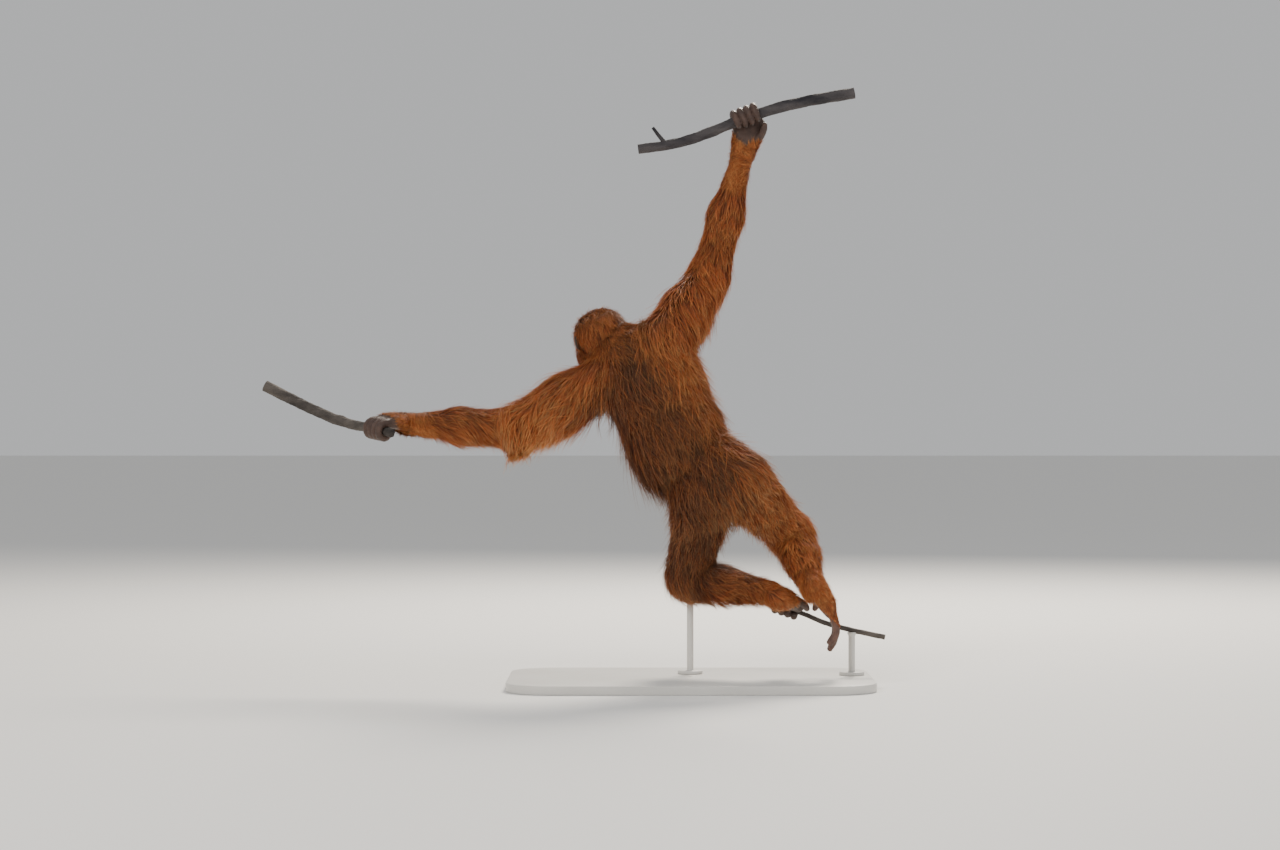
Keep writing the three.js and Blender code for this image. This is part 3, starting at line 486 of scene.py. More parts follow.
# Colours of a hair from root to tip, in lit parts of the coat and in darker parts, where the hair is darker
# and painted shade falls. The darkening towards the root is painted shade deep in the coat, and the golden
# tips are partly a painted glow of back light shining through the hair.
LIT_RUSTY_HAIR = (
    (0.0, (0.07, 0.017, 0.005)),
    (0.4, (0.23, 0.045, 0.011)),
    (0.78, (0.43, 0.108, 0.025)),
    (1.0, (0.88, 0.43, 0.14)),
)
DARK_AND_SHADED_HAIR = (
    (0.0, (0.018, 0.006, 0.003)),
    (0.45, (0.034, 0.01, 0.005)),
    (0.8, (0.068, 0.02, 0.009)),
    (1.0, (0.18, 0.055, 0.019)),
)
# Colours of an eye from the middle of the pupil outwards.
EYE_COLOURS = (
    (0.0, (0.004, 0.003, 0.003)),
    (0.2, (0.006, 0.004, 0.003)),
    (0.26, (0.055, 0.019, 0.006)),
    (0.42, (0.1, 0.036, 0.011)),
    (0.5, (0.014, 0.008, 0.005)),
    (0.62, (0.06, 0.04, 0.032)),
)


def coat_material():
    """Hair, darker at the root as painted shade deep in the coat, and lighter at the tip, partly as a
    painted glow of back light.

    Painted: way along, tone of the tuft, and the darkness of its place, which is darker hair with painted
    shade and shadow.
    """
    material, shader = new_material("coat_hair", 0.55, specular=0.22, sheen=0.25)
    shader.inputs["Sheen Roughness"].default_value = 0.4
    shader.inputs["Sheen Tint"].default_value = (1, 0.62, 0.3, 1)
    along, tone, shade = painted(material, "hair")
    link = material.node_tree.links.new
    warm, dark = (colour_ramp(material, along, stops) for stops in (LIT_RUSTY_HAIR, DARK_AND_SHADED_HAIR))
    # The darker ramp is mixed in by the place's darkness: darker hair, painted shade and painted shadow.
    base = blend_colours(material, shade, warm, dark)
    lift = material.node_tree.nodes.new("ShaderNodeHueSaturation")
    span = material.node_tree.nodes.new("ShaderNodeMapRange")
    span.inputs["To Min"].default_value = 0.62
    span.inputs["To Max"].default_value = 1.4
    link(tone, span.inputs["Value"])
    link(span.outputs["Result"], lift.inputs["Value"])
    link(base, lift.inputs["Color"])
    link(lift.outputs["Color"], shader.inputs["Base Color"])
    return material


def skin_material():
    """Bare dark skin, with hair colour where the coat covers it. Painted: bareness, shade, warmth."""
    material, shader = new_material("bare_skin", 0.5, specular=0.3)
    bare, shade, warmth = painted(material, "skin")
    leathery = place_group(
        material, MOTTLE, Broad_scale=42.0, Fine_scale=620.0,
        Colour_A=(0.02, 0.014, 0.012, 1), Colour_B=(0.055, 0.037, 0.029, 1),
    )
    flesh = place_group(
        material, MOTTLE, Broad_scale=60.0, Fine_scale=540.0,
        Colour_A=(0.17, 0.09, 0.066, 1), Colour_B=(0.085, 0.048, 0.038, 1),
    )
    # Under the coat the skin takes the coat's darkness, which is partly darker hair and partly painted
    # shade and shadow.
    under = blend_colours(material, shade, (0.1, 0.032, 0.012, 1), (0.035, 0.013, 0.008, 1))
    naked = blend_colours(material, warmth, leathery.outputs["Colour"], flesh.outputs["Colour"])
    colour = blend_colours(material, bare, under, naked)
    material.node_tree.links.new(colour, shader.inputs["Base Color"])
    bump(material, shader, leathery.outputs["Grain"], 0.55, 0.003)
    return material


def mottled_material(name, roughness, specular, colours, scales, strength, distance, **stretch):
    """Two colours mixed by broad noise, with a fine grain raised by a strength and a distance in metres."""
    material, shader = new_material(name, roughness, specular=specular)
    mottle = place_group(
        material, MOTTLE, Colour_A=(*colours[0], 1), Colour_B=(*colours[1], 1),
        Broad_scale=scales[0], Fine_scale=scales[1], **stretch,
    )
    material.node_tree.links.new(mottle.outputs["Colour"], shader.inputs["Base Color"])
    bump(material, shader, mottle.outputs["Grain"], strength, distance)
    return material


def bark_material(name, dark, pale, stretch):
    return mottled_material(name, 0.82, 0.25, (dark, pale), (18.0, 120.0), 0.8, 0.004, Stretch=stretch)


def eye_material():
    """A brown iris round a dark pupil in a dark eyeball. Painted: way from the middle of the iris."""
    material, shader = new_material("wet_eye", 0.12, specular=0.6, coat=0.8)
    spread, streak, _ = painted(material, "iris")
    iris = colour_ramp(material, spread, EYE_COLOURS)
    colour = blend_colours(material, streak, iris, (0.05, 0.02, 0.008, 1))
    material.node_tree.links.new(colour, shader.inputs["Base Color"])
    return material


HAIR = coat_material()
SKIN = skin_material()
NAIL = mottled_material(
    "dark_nail", 0.34, 0.5, ((0.035, 0.027, 0.024), (0.07, 0.05, 0.042)), (120.0, 700.0), 0.3, 0.0005
)
WET_EYE = eye_material()
STAND = mottled_material(
    "satin_paint", 0.38, 0.45, ((0.62, 0.6, 0.56), (0.66, 0.64, 0.6)), (6.0, 900.0), 0.12, 0.0004
)
DARK_BARK = bark_material("dark_bark", (0.018, 0.017, 0.021), (0.085, 0.075, 0.075), (0.35, 1, 1))
VINE_BARK = bark_material("vine_bark", (0.026, 0.022, 0.021), (0.115, 0.098, 0.085), (0.4, 1, 1))


def shade_at(points):
    """How dark the coat is: most down the middle of the back, where the hair is darker and painted shade
    deepens it, and on the left flank and the left thigh, which are painted shadow. The lower right side and
    the arms are made lighter.
    """
    offset = points - vec(CHEST[0])
    down = offset @ SPINE_DOWN
    across = offset @ TRUNK_FRAME[0]
    back = -(offset @ TRUNK_FRAME[1])
    # Down the middle of the back: darker hair, deepened by painted shade.
    band = np.exp(-(((across - 8) / 62) ** 2))
    band = band * smooth(10, 70, back) * smooth(330, 150, np.abs(down - 60))
    flank = np.exp(-(((across - 90) / 60) ** 2)) * smooth(420, 200, np.abs(down - 80))
    wave = 0.5 + 0.5 * np.sin(points[:, 0] * 0.021 + points[:, 2] * 0.017) * np.sin(points[:, 1] * 0.03 + 1)
    # Painted shadow on the left flank and the left thigh.
    left_flank_shadow = np.exp(-(((across + 88) / 50) ** 2)) * smooth(-130, 0, down) * smooth(560, 420, down)
    left_thigh_shadow = np.exp(-((np.linalg.norm((points - (0, 10, 400)) / (60, 100, 140), axis=1)) ** 2))
    # Lighter on the lower right side and on the arms.
    lower_right_lighter = smooth(120, 300, points[:, 0]) * smooth(640, 480, points[:, 2])
    arm = smooth(-250, -330, points[:, 0]) + smooth(1010, 1080, points[:, 2])
    shade = 0.34 + 0.55 * band + 0.1 * flank + 0.95 * left_flank_shadow + 0.95 * left_thigh_shadow + 0.24 * wave
    return np.clip(shade - 0.35 * lower_right_lighter - 0.12 * arm, 0, 1)


def face_share(points):
    """One on the bare face, falling to nothing in the hair round it."""
    local = (points - vec(SKULL)) @ SKULL_FRAME.T
    round_face = np.hypot(local[:, 0] / 50, (local[:, 2] + 34) / 62)
    return smooth(14, 40, local[:, 1]) * smooth(1.12, 0.88, round_face)


# Hands and feet. A grip has its place on the perch, the perch's way, the way out towards the back of
# the hand and the way the digits wrap. Each digit has its place along the perch and its two end angles.
def grip_frame(axis, out, wrap):
    axis = unit(axis)
    out = unit(vec(out) - axis * np.dot(out, axis))
    wrap = vec(wrap) - axis * np.dot(wrap, axis) - out * np.dot(wrap, out)
    return axis, out, unit(wrap)


def grip_points(grip, along, radius, angle):
    axis, out, wrap = grip_frame(grip["axis"], grip["out"], grip["wrap"])
    return vec(grip["at"]) + axis * along + out * radius * math.cos(angle) + wrap * radius * math.sin(angle)


HAND_RIGHT = {
    "at": GRIP_RIGHT, "axis": (0.93, 0.01, 0.36), "out": (0, 1, 0), "wrap": (-0.2, 0, 1),
    "perch": BRANCH_R, "from": WRIST_RIGHT, "scale": 1.0, "sizes": (21, 17),
    "digits": ((30, -8, 232), (10, -4, 243), (-10, -4, 240), (-30, -8, 225)),
    "thumb": ((164, 186, 1462), (184, 170, 1484), (202, 156, 1506), (208, 146, 1528)),
    "thumb_nail": (0.6, 0.6, 0.3),
}
HAND_LEFT = {
    "at": GRIP_LEFT, "axis": (-0.64, 0.77, 0.12), "out": (0.05, 0, 1), "wrap": (-0.77, -0.64, 0),
    "perch": VINE_R, "from": WRIST_LEFT, "scale": 1.0, "sizes": (21, 17),
    "digits": ((30, -8, 236), (10, -4, 246), (-10, -4, 242), (-30, -8, 228)),
    "thumb": ((-800, 186, 706), (-826, 205, 700), (-858, 206, 690), (-886, 196, 684)),
    "thumb_nail": (0, 0.6, -0.8),
}
FOOT_LEFT = {
    "at": GRIP_FOOT, "axis": (0.95, 0, -0.31), "out": (0.2, 0, 1), "wrap": (0, 1, 0),
    "perch": TWIG_R, "from": HEEL_LEFT, "scale": 0.98, "sizes": (25, 19),
    "digits": ((28, -8, 236), (9, -4, 250), (-10, -4, 246), (-30, -8, 232)),
    "thumb": ((258, -24, 238), (286, -28, 232), (307, -16, 220), (316, 4, 206)),
    "thumb_nail": (0.8, -0.4, 0.4),
}
TOE_ROWS = (-1.5, -0.5, 0.5, 1.5)


def grip_digits(grip):
    routes = []
    _, _, wrap = grip_frame(grip["axis"], grip["out"], grip["wrap"])
    thick, tip = 9.5 * grip["scale"], 7.4 * grip["scale"]
    radius = grip["perch"] + 0.3 + thick * 0.93
    for along, start, stop in grip["digits"]:
        first, last = math.radians(start), math.radians(stop)
        route = [grip_points(grip, along, radius, first) - wrap * 26]
        for k in range(11):
            share = k / 10
            angle, gap = first + (last - first) * share, radius - (thick - tip) * share
            route.append(grip_points(grip, along * (1 - 0.08 * share), gap, angle))
        routes.append((route, thick, tip))
    return routes


def hanging_toes():
    routes = []
    for n in TOE_ROWS:
        y, drop = -43 + n * 17, 8 * n * n
        route = [
            (372, y - 4, 206), (386, y - 2, 178), (391, y - 2, 150),
            (386, y - 3, 124 + drop * 0.5), (374, y - 4, 100 + drop),
        ]
        routes.append((curve(route, 12), 8.8, 7.2))
    return routes


def curve(route, count):
    """Points along a smooth centripetal curve through the route."""
    p = [vec(q) for q in route]
    p = [2 * p[0] - p[1], *p, 2 * p[-1] - p[-2]]
    knots = np.concatenate([[0], np.cumsum([np.linalg.norm(b - a) ** 0.5 for a, b in zip(p, p[1:])])])
    made = []
    lengths = [np.linalg.norm(b - a) for a, b in zip(p[1:-2], p[2:-1])]
    ends = np.concatenate([[0], np.cumsum(lengths)])
    for share in np.linspace(0, ends[-1], count):
        i = min(int(np.searchsorted(ends, share, side="right")) - 1, len(lengths) - 1)
        t = knots[i + 1] + (share - ends[i]) / lengths[i] * (knots[i + 2] - knots[i + 1])
        t0, t1, t2, t3 = knots[i : i + 4]
        p0, p1, p2, p3 = p[i : i + 4]
        a1 = p0 * (t1 - t) / (t1 - t0) + p1 * (t - t0) / (t1 - t0)
        a2 = p1 * (t2 - t) / (t2 - t1) + p2 * (t - t1) / (t2 - t1)
        a3 = p2 * (t3 - t) / (t3 - t2) + p3 * (t - t2) / (t3 - t2)
        b1 = a1 * (t2 - t) / (t2 - t0) + a2 * (t - t0) / (t2 - t0)
        b2 = a2 * (t3 - t) / (t3 - t1) + a3 * (t - t1) / (t3 - t1)
        made.append(b1 * (t2 - t) / (t2 - t1) + b2 * (t - t1) / (t2 - t1))
    return made


def digit_distance(points, route, thick, tip):
    """A digit with three swollen joints."""
    count = len(route) - 1
    forms = []
    for i, (a, b) in enumerate(zip(route, route[1:])):
        def size(k):
            share = k / count
            joint = sum(math.exp(-(((share - at) / 0.07) ** 2)) for at in (0.34, 0.62, 0.84))
            return (thick + (tip - thick) * share) * (0.93 + 0.1 * joint)
        forms.append(bone(points, a, b, size(i), size(i + 1)))
    return melt(forms, 2.0)


def palm_bones(grip):
    """From the wrist to the root of each digit."""
    axis, out, wrap = grip_frame(grip["axis"], grip["out"], grip["wrap"])
    start, scale = vec(grip["from"]), grip["scale"]
    wide, thin = grip["sizes"]
    bones = []
    for (route, _, _), (along, _, _) in zip(grip_digits(grip), grip["digits"]):
        root = start + axis * along * 0.4
        middle = mix(root, route[0], 0.55) + out * 3
        bones.append((root, middle, wide * 0.78, thin * 0.82))
        bones.append((middle, route[0] + out * 1.5, thin * 0.82, 12.5 * scale))
        bones.append((route[0] + out * 1.5, route[1] - out * 1.0, 12.5 * scale, 10.5 * scale))
    thumb = grip["thumb"]
    bones.append((start, thumb[0], wide * 0.8, 13))
    return bones


SOLE = ((322, -68, 280), (340, -60, 252), (364, -52, 222), (386, -44, 188))


def sole_bones():
    bones = []
    for n in TOE_ROWS:
        y = 17 * n
        heel = [(327, -60 + y * 0.5, 272), (344, -59 + y * 0.8, 248)]
        stations = [*heel, (364, -52 + y, 222), (374, -46 + y, 200)]
        sizes = (18, 19, 16, 12.5)
        bones += list(zip(stations, stations[1:], sizes, sizes[1:]))
    bones.append(((336, -52, 262), (352, -26, 247), 18, 13))
    return bones


GRIPS = {"hand_right": HAND_RIGHT, "hand_left": HAND_LEFT, "foot_left": FOOT_LEFT}


def extremity_distance(points, bones, digits, limb_bone):
    palm = melt([bone(points, *b) for b in bones] + [bone(points, *limb_bone)], 5)
    fingers = np.min([digit_distance(points, *d) for d in digits], axis=0)
    return melt([palm, fingers], 2.5)


def paw_box(bones, digits, limb_bone):
    every = [p for b in bones for p in b[:2]] + [p for route, _, _ in digits for p in route]
    every = np.array([*every, limb_bone[0]], dtype=float)
    return every.min(axis=0) - 34, every.max(axis=0) + 34


def extremity(parts, box):
    return surface(lambda p: extremity_distance(p, *parts), *box, PAW_CELL)


# Head
def mouth_route(up, reach, sink, count=15):
    middle = in_head(0, 58, up)
    turns = np.linspace(-reach, reach, count)
    across, down = np.sin(turns), 0.1 * np.abs(np.sin(turns))
    way = np.outer(across, SKULL_FRAME[0]) + np.outer(np.cos(turns), SKULL_FRAME[1])
    way = unit(way - np.outer(down, SKULL_FRAME[2]))
    points = np.tile(middle, (count, 1))
    for _ in range(40):
        points = points - way * head_distance(points)[:, None] * 0.8
    return points - way * sink


def chain(points, route, sizes, soft):
    links = zip(route, route[1:], sizes, sizes[1:])
    return melt((bone(points, *link) for link in links), soft)


UPPER_LIP = mouth_route(MOUTH_UP + 6.5, 1.05, 2.2)
LOWER_LIP = mouth_route(MOUTH_UP - 6.5, 1.0, 2.2)
MOUTH_LINE = mouth_route(MOUTH_UP, 1.16, -1.5)


def lid_route(side, lift, shift):
    turns = np.linspace(-1.2, 1.2, 11)
    centre = in_head(side * EYE[0], EYE[1], EYE[2])
    across = np.outer(12.6 * np.sin(turns), SKULL_FRAME[0])
    front = np.outer(9.6 * np.cos(turns) + 1, SKULL_FRAME[1])
    up = np.outer(lift * np.cos(turns) + shift, SKULL_FRAME[2])
    return centre + across + front + up


def ear_distance(points, side):
    forward = SKULL_FRAME[1] * 0.8 - SKULL_FRAME[0] * side * 0.6
    axes = frame_of(SKULL_FRAME[2], forward)
    middle = in_head(side * 72, -2, 4)
    outward = SKULL_FRAME[0] * side * 0.8 + SKULL_FRAME[1] * 0.6
    shell = egg(points, middle, (6.5, 15.5, 20.5), axes)
    cup = egg(points, middle + outward * 6, (5.5, 11.5, 16), axes)
    ridge = egg(points, middle + outward * 0.5, (2.4, 8, 11.5), axes)
    return np.minimum(melt_max(shell, -cup, 1.2), ridge)


def detailed_head(points):
    d = head_distance(points)
    ends = np.sin(np.linspace(0.35, math.pi - 0.35, 15))
    lips = np.minimum(chain(points, UPPER_LIP, 6.0 * ends, 2), chain(points, LOWER_LIP, 6.2 * ends, 2))
    d = melt([d, lips], 2.6)
    d = melt_max(d, -chain(points, MOUTH_LINE, 0.8 + 2.2 * ends, 1), 0.9)
    local = (points - vec(SKULL)) @ SKULL_FRAME.T
    muzzle = smooth(55, 90, local[:, 1]) * smooth(-12, -36, local[:, 2])
    crease = np.sin(local[:, 0] * 0.85 + 2.2 * np.sin(local[:, 2] * 0.11)) * np.sin(local[:, 0] * 0.31 + 1)
    brow = smooth(42, 60, local[:, 1]) * smooth(8, 16, local[:, 2])
    fold = np.sin(local[:, 2] * 0.9 + 1.5 * np.sin(local[:, 0] * 0.08))
    cheek = smooth(30, 50, local[:, 1]) * smooth(-8, -16, local[:, 2]) * smooth(-50, -34, local[:, 2])
    fan = np.sin(local[:, 2] * 0.75 + np.abs(local[:, 0]) * 0.42)
    d = d + 0.34 * muzzle * crease + 0.45 * brow * fold + 0.4 * cheek * fan
    for side in (-1, 1):
        nostril = egg(points, in_head(side * 7.2, 106, -33), (3.9, 10, 3.4), SKULL_FRAME)
        d = melt_max(d, -nostril, 0.8)
        eye_room = EYE_R - 0.2 - np.linalg.norm(points - in_head(side * EYE[0], EYE[1], EYE[2]), axis=-1)
        upper = chain(points, lid_route(side, 6.8, 0.6), np.full(11, 2.7), 1)
        fold = chain(points, lid_route(side, 11.5, 2.2), np.full(11, 2.6), 1)
        lower = chain(points, lid_route(side, -6.8, -0.6), np.full(11, 2.5), 1)
        bag = chain(points, lid_route(side, -12.5, -1.5), np.full(11, 3.0), 1)
        d = melt([d, fold, bag], 2.2)
        d = melt_max(d, eye_room, 0.8)
        d = melt([d, upper, lower], 1.0)
        d = np.minimum(d, ear_distance(points, side))
    return d


# Skin: the body, then the head, hands and feet on finer grids that reach well under the coat.
# Each hand or foot has its palm's bones, its digits (the thumb last) and a stump that runs up the limb.
BODY_CELL, HEAD_CELL, PAW_CELL = 7.0, 2.7, 2.6


def join_parts(parts):
    verts, faces, start = [], [], 0
    for v, f in parts:
        verts.append(v)
        faces.append(f + start)
        start += len(v)
    return np.concatenate(verts), np.concatenate(faces)


BODY_SKIN = surface(body_distance, (-850, -150, 170), (400, 250, 1500), BODY_CELL)
HEAD_SKIN = surface(detailed_head, vec(SKULL) - (120, 130, 130), vec(SKULL) + (110, 150, 100), HEAD_CELL)
THUMB_R, THUMB_TIP_R = 10.5, 7.8
GREAT_TOE = ((352, -30, 250), (352, -8, 242), (346, 10, 226), (338, 18, 206))
EXTREMITIES = {}
for name, grip, limb_bone in (
    ("hand_right", HAND_RIGHT, (mix(ELBOW_RIGHT, WRIST_RIGHT, 0.8), WRIST_RIGHT, 28, 23)),
    ("hand_left", HAND_LEFT, (mix(ELBOW_LEFT, WRIST_LEFT, 0.8), WRIST_LEFT, 28, 23)),
    ("foot_left", FOOT_LEFT, (mix(KNEE_LEFT, ANKLE_LEFT, 0.85), ANKLE_LEFT, 29, 26)),
):
    digits = grip_digits(grip) + [(curve(grip["thumb"], 9), THUMB_R, THUMB_TIP_R)]
    EXTREMITIES[name] = (palm_bones(grip), digits, limb_bone)
EXTREMITIES["foot_right"] = (
    sole_bones(),
    hanging_toes() + [(curve(GREAT_TOE, 9), THUMB_R, THUMB_TIP_R)],
    (mix(KNEE_RIGHT, ANKLE_RIGHT, 0.85), ANKLE_RIGHT, 29, 26),
)
PAW_BOXES = [paw_box(*parts) for parts in EXTREMITIES.values()]
END_SKINS = {name: extremity(parts, box) for (name, parts), box in zip(EXTREMITIES.items(), PAW_BOXES)}

skin_verts, skin_faces = join_parts([BODY_SKIN, HEAD_SKIN, *END_SKINS.values()])
skin = new_piece("skin", skin_verts, skin_faces, SKIN, "skin")
FLESH_NAMES = (
    "head", "neck", "torso", "hips", "upper_arm", "forearm", "hand", "thigh", "shin", "foot",
    "finger", "thumb", "toe", "hallux", "ear",
)
FLESH = [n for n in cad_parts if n.startswith(FLESH_NAMES)]
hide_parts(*FLESH)


# Nails
def ball(centre, half, axes, around=14, steps=9):
    """An egg-shaped mesh, from its lower end to its upper end along its third axis."""
    polar = np.linspace(0.02, math.pi - 0.02, steps)
    turn = np.linspace(0, FULL_TURN, around, endpoint=False)
    grid = np.stack(
        [
            np.outer(np.sin(polar), np.cos(turn)),
            np.outer(np.sin(polar), np.sin(turn)),
            np.outer(-np.cos(polar), np.ones(around)),
        ],
        axis=-1,
    ).reshape(-1, 3)
    return vec(centre) + (grid * vec(half)) @ axes, np.array(ring_faces(steps, around))


def nail(route, tip, outward):
    end, before = vec(route[-1]), vec(route[-2])
    along = unit(end - before)
    axes = frame_of(along, outward)
    return ball(end - along * tip * 0.2 + axes[1] * tip * 0.66, (tip * 0.62, tip * 0.36, tip * 0.85), axes)


nail_parts = []
for name, (_, digits, _) in EXTREMITIES.items():
    for i, (route, _, tip) in enumerate(digits):
        if i == 4:
            outward = GRIPS[name]["thumb_nail"] if name in GRIPS else (0.4, 0, 0.9)
        elif name in GRIPS:
            outward = vec(route[-1]) - grip_points(GRIPS[name], GRIPS[name]["digits"][i][0] * 0.92, 0, 0)
        else:
            outward = (1, 0, 0.2)
        nail_parts.append(nail(route, tip, outward))
new_piece("nails", *join_parts(nail_parts), NAIL, "skin")


# Eyes
def eyeball(side):
    centre = in_head(side * EYE[0], EYE[1], EYE[2])
    look = unit(SKULL_FRAME[1] + 0.05 * side * SKULL_FRAME[0] - 0.06 * SKULL_FRAME[2])
    axes = frame_of(look, SKULL_FRAME[2])
    verts, faces = ball(centre, (EYE_R, EYE_R, EYE_R), axes, 40, 33)
    away = np.arccos(np.clip(unit(verts - centre) @ look, -1, 1))
    bulge = 0.9 * smooth(0.62, 0.2, away)
    verts = verts + unit(verts - centre) * bulge[:, None]
    turn = np.arctan2((verts - centre) @ axes[0], (verts - centre) @ axes[1])
    streak = 0.25 * (0.5 + 0.5 * np.sin(turn * 23) * np.sin(turn * 11 + 1)) * (away < 0.5)
    piece = new_piece(f"eyeball_{'right' if side > 0 else 'left'}", verts, faces, WET_EYE, "eye")
    paint(piece, "iris", np.stack([np.clip(away / 1.3, 0, 1), streak, away * 0, away * 0 + 1], axis=1))
    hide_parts("eye_right" if side > 0 else "eye_left")


for side in (-1, 1):
    eyeball(side)


# Coat
def grow_direction(points):
    """The normal of the skin, from the slope of the distance."""
    e = 2.0
    slope = np.zeros_like(points)
    for axis in range(3):
        shift = np.zeros(3)
        shift[axis] = e
        slope[:, axis] = animal_distance(points + shift) - animal_distance(points - shift)
    return unit(slope)


# On hands and feet: the way the hair lies, which is towards the digits, and the hairy side.
PAW_LIES = [
    unit(vec(GRIP_RIGHT) - vec(WRIST_RIGHT)),
    unit(vec(GRIP_LEFT) - vec(WRIST_LEFT)),
    unit(vec(GRIP_FOOT) - vec(ANKLE_LEFT)),
    unit(vec(SOLE[3]) - vec(SOLE[0])),
]
PAW_BACKS = [(0.1, 1, 0), (0.3, 0.2, 1), (0.1, -0.3, 1), (1, -0.25, 0.35)]
PAW_ENDS = [(WRIST_RIGHT, 66), (WRIST_LEFT, 52), (HEEL_LEFT, 22), (SOLE[0], 150)]
PARTINGS = (WRIST_RIGHT, WRIST_LEFT, ANKLE_LEFT, HEEL_LEFT, ANKLE_RIGHT, SOLE[0])


def hair_facts(points):
    """Coat depth, hair length, fall, hang, the lie of the hair and the nearest form, at each point."""
    facts = np.zeros((len(points), 4))
    lie = np.zeros_like(points)
    weight = np.zeros(len(points))
    least = np.full(len(points), np.inf)
    nearest = np.zeros(len(points), dtype=int)
    for i, (d, kind, way) in enumerate(body_parts(points)):
        w = np.exp(-np.clip(d, -30, 400) / 16)
        facts += w[:, None] * np.array(COAT[kind])
        lie += w[:, None] * way
        weight += w
        nearer = d < least
        nearest[nearer] = i
        least[nearer] = d[nearer]
    d = head_distance(points)
    w = np.exp(-np.clip(d, -30, 400) / 9) * 1.6
    local = (points - vec(SKULL)) @ SKULL_FRAME.T
    crown = smooth(10, 60, local[:, 2])[:, None]
    on_face = np.stack([local[:, 0] / 50, local[:, 1] * 0, (local[:, 2] + 34) / 62], axis=1)
    outward = unit(on_face) @ SKULL_FRAME
    rim = smooth(-5, 35, local[:, 1]) * smooth(2.0, 1.1, np.hypot(on_face[:, 0], on_face[:, 2]))
    way = -SKULL_FRAME[2] * (1.05 - crown) - SKULL_FRAME[1] * (0.3 + 0.9 * crown)
    way = unit(way + outward * 1.7 * rim[:, None])
    beard = smooth(-40, -80, local[:, 2])
    facts_head = np.array(COAT["head"])[None, :] * (1 + beard[:, None] * np.array([0.15, 0.45, 0, 1.5]))
    facts += w[:, None] * facts_head
    lie += w[:, None] * way
    weight += w
    nearer = d < least
    nearest[nearer] = 4 + len(LIMBS)
    least = np.minimum(least, d)
    for k, (d, way) in enumerate(zip(paw_distances(points), PAW_LIES)):
        w = np.exp(-np.clip(d, -30, 400) / 6)
        facts += w[:, None] * np.array(COAT["paw"])
        lie += w[:, None] * way
        weight += w
        nearest[d < least - 4] = 5 + len(LIMBS) + k
    facts /= weight[:, None]
    for middle, reach, fall in HANGING_TUFTS:
        close = np.exp(-((np.linalg.norm(points - vec(middle), axis=1) / reach) ** 2))
        facts[:, 3] += fall * close
        facts[:, 0] *= 1 + 0.4 * close
        facts[:, 1] *= 1 + 0.25 * close
    return facts, unit(lie), nearest


def bare_here(points):
    """One where no hair grows: face, palms, fingers, soles and round the ears."""
    bare = face_share(points)
    for i, (d, back, (start, reach)) in enumerate(zip(paw_distances(points), PAW_BACKS, PAW_ENDS)):
        here = d < 12
        if not here.any():
            continue
        offset = points[here] - vec(start)
        down = offset @ PAW_LIES[i]
        turned = unit(offset - down[:, None] * PAW_LIES[i]) @ unit(back)
        palm = smooth(-0.1, -0.5, turned - 0.55 * smooth(0, reach, down)) * smooth(4, 28, down)
        bare[here] = np.maximum(bare[here], np.maximum(palm, smooth(reach * 0.7, reach, down)))
    for side in (-1, 1):
        gone = np.linalg.norm(points - in_head(side * 74, 2, 4), axis=1)
        bare = np.maximum(bare, smooth(26, 17, gone))
    return bare


def coat_roots(count):
    """Even random places on the skin of the body and head, fewer where the coat thins out."""
    verts, faces = join_parts([BODY_SKIN, HEAD_SKIN, *END_SKINS.values()])
    a, b, c, d = (verts[faces[:, i]] for i in range(4))
    area = 0.5 * np.linalg.norm(np.cross(c - a, d - b), axis=1)
    local = (a - vec(SKULL)) @ SKULL_FRAME.T
    on_head = np.linalg.norm(local / (90, 130, 110), axis=1) < 1.1
    parting = sum(np.exp(-((np.linalg.norm(a - vec(p), axis=1) / 38) ** 2)) for p in PARTINGS)
    area = area * np.where(on_head, 2.1, 1.0) * (1 + 3.2 * np.minimum(parting, 1))
    area = area * np.where(np.arange(len(faces)) >= FIRST_PAW_FACE, 1.8, 1.0)
    chosen = rng.choice(len(faces), size=int(count * 1.5), p=area / area.sum())
    r, t = rng.random(len(chosen))[:, None], rng.random(len(chosen))[:, None]
    roots = (a[chosen] * (1 - r) + b[chosen] * r) * (1 - t) + (d[chosen] * (1 - r) + c[chosen] * r) * t
    keep = (animal_distance(roots) > -2.5) & (rng.random(len(roots)) > bare_here(roots))
    return roots[keep][:count]


FIRST_PAW_FACE = len(BODY_SKIN[1]) + len(HEAD_SKIN[1])
STATIONS = 5
SHARES = np.linspace(0, 1, STATIONS)
STRAY_SHARE = 0.24
PHASE_RANGE = 6.28


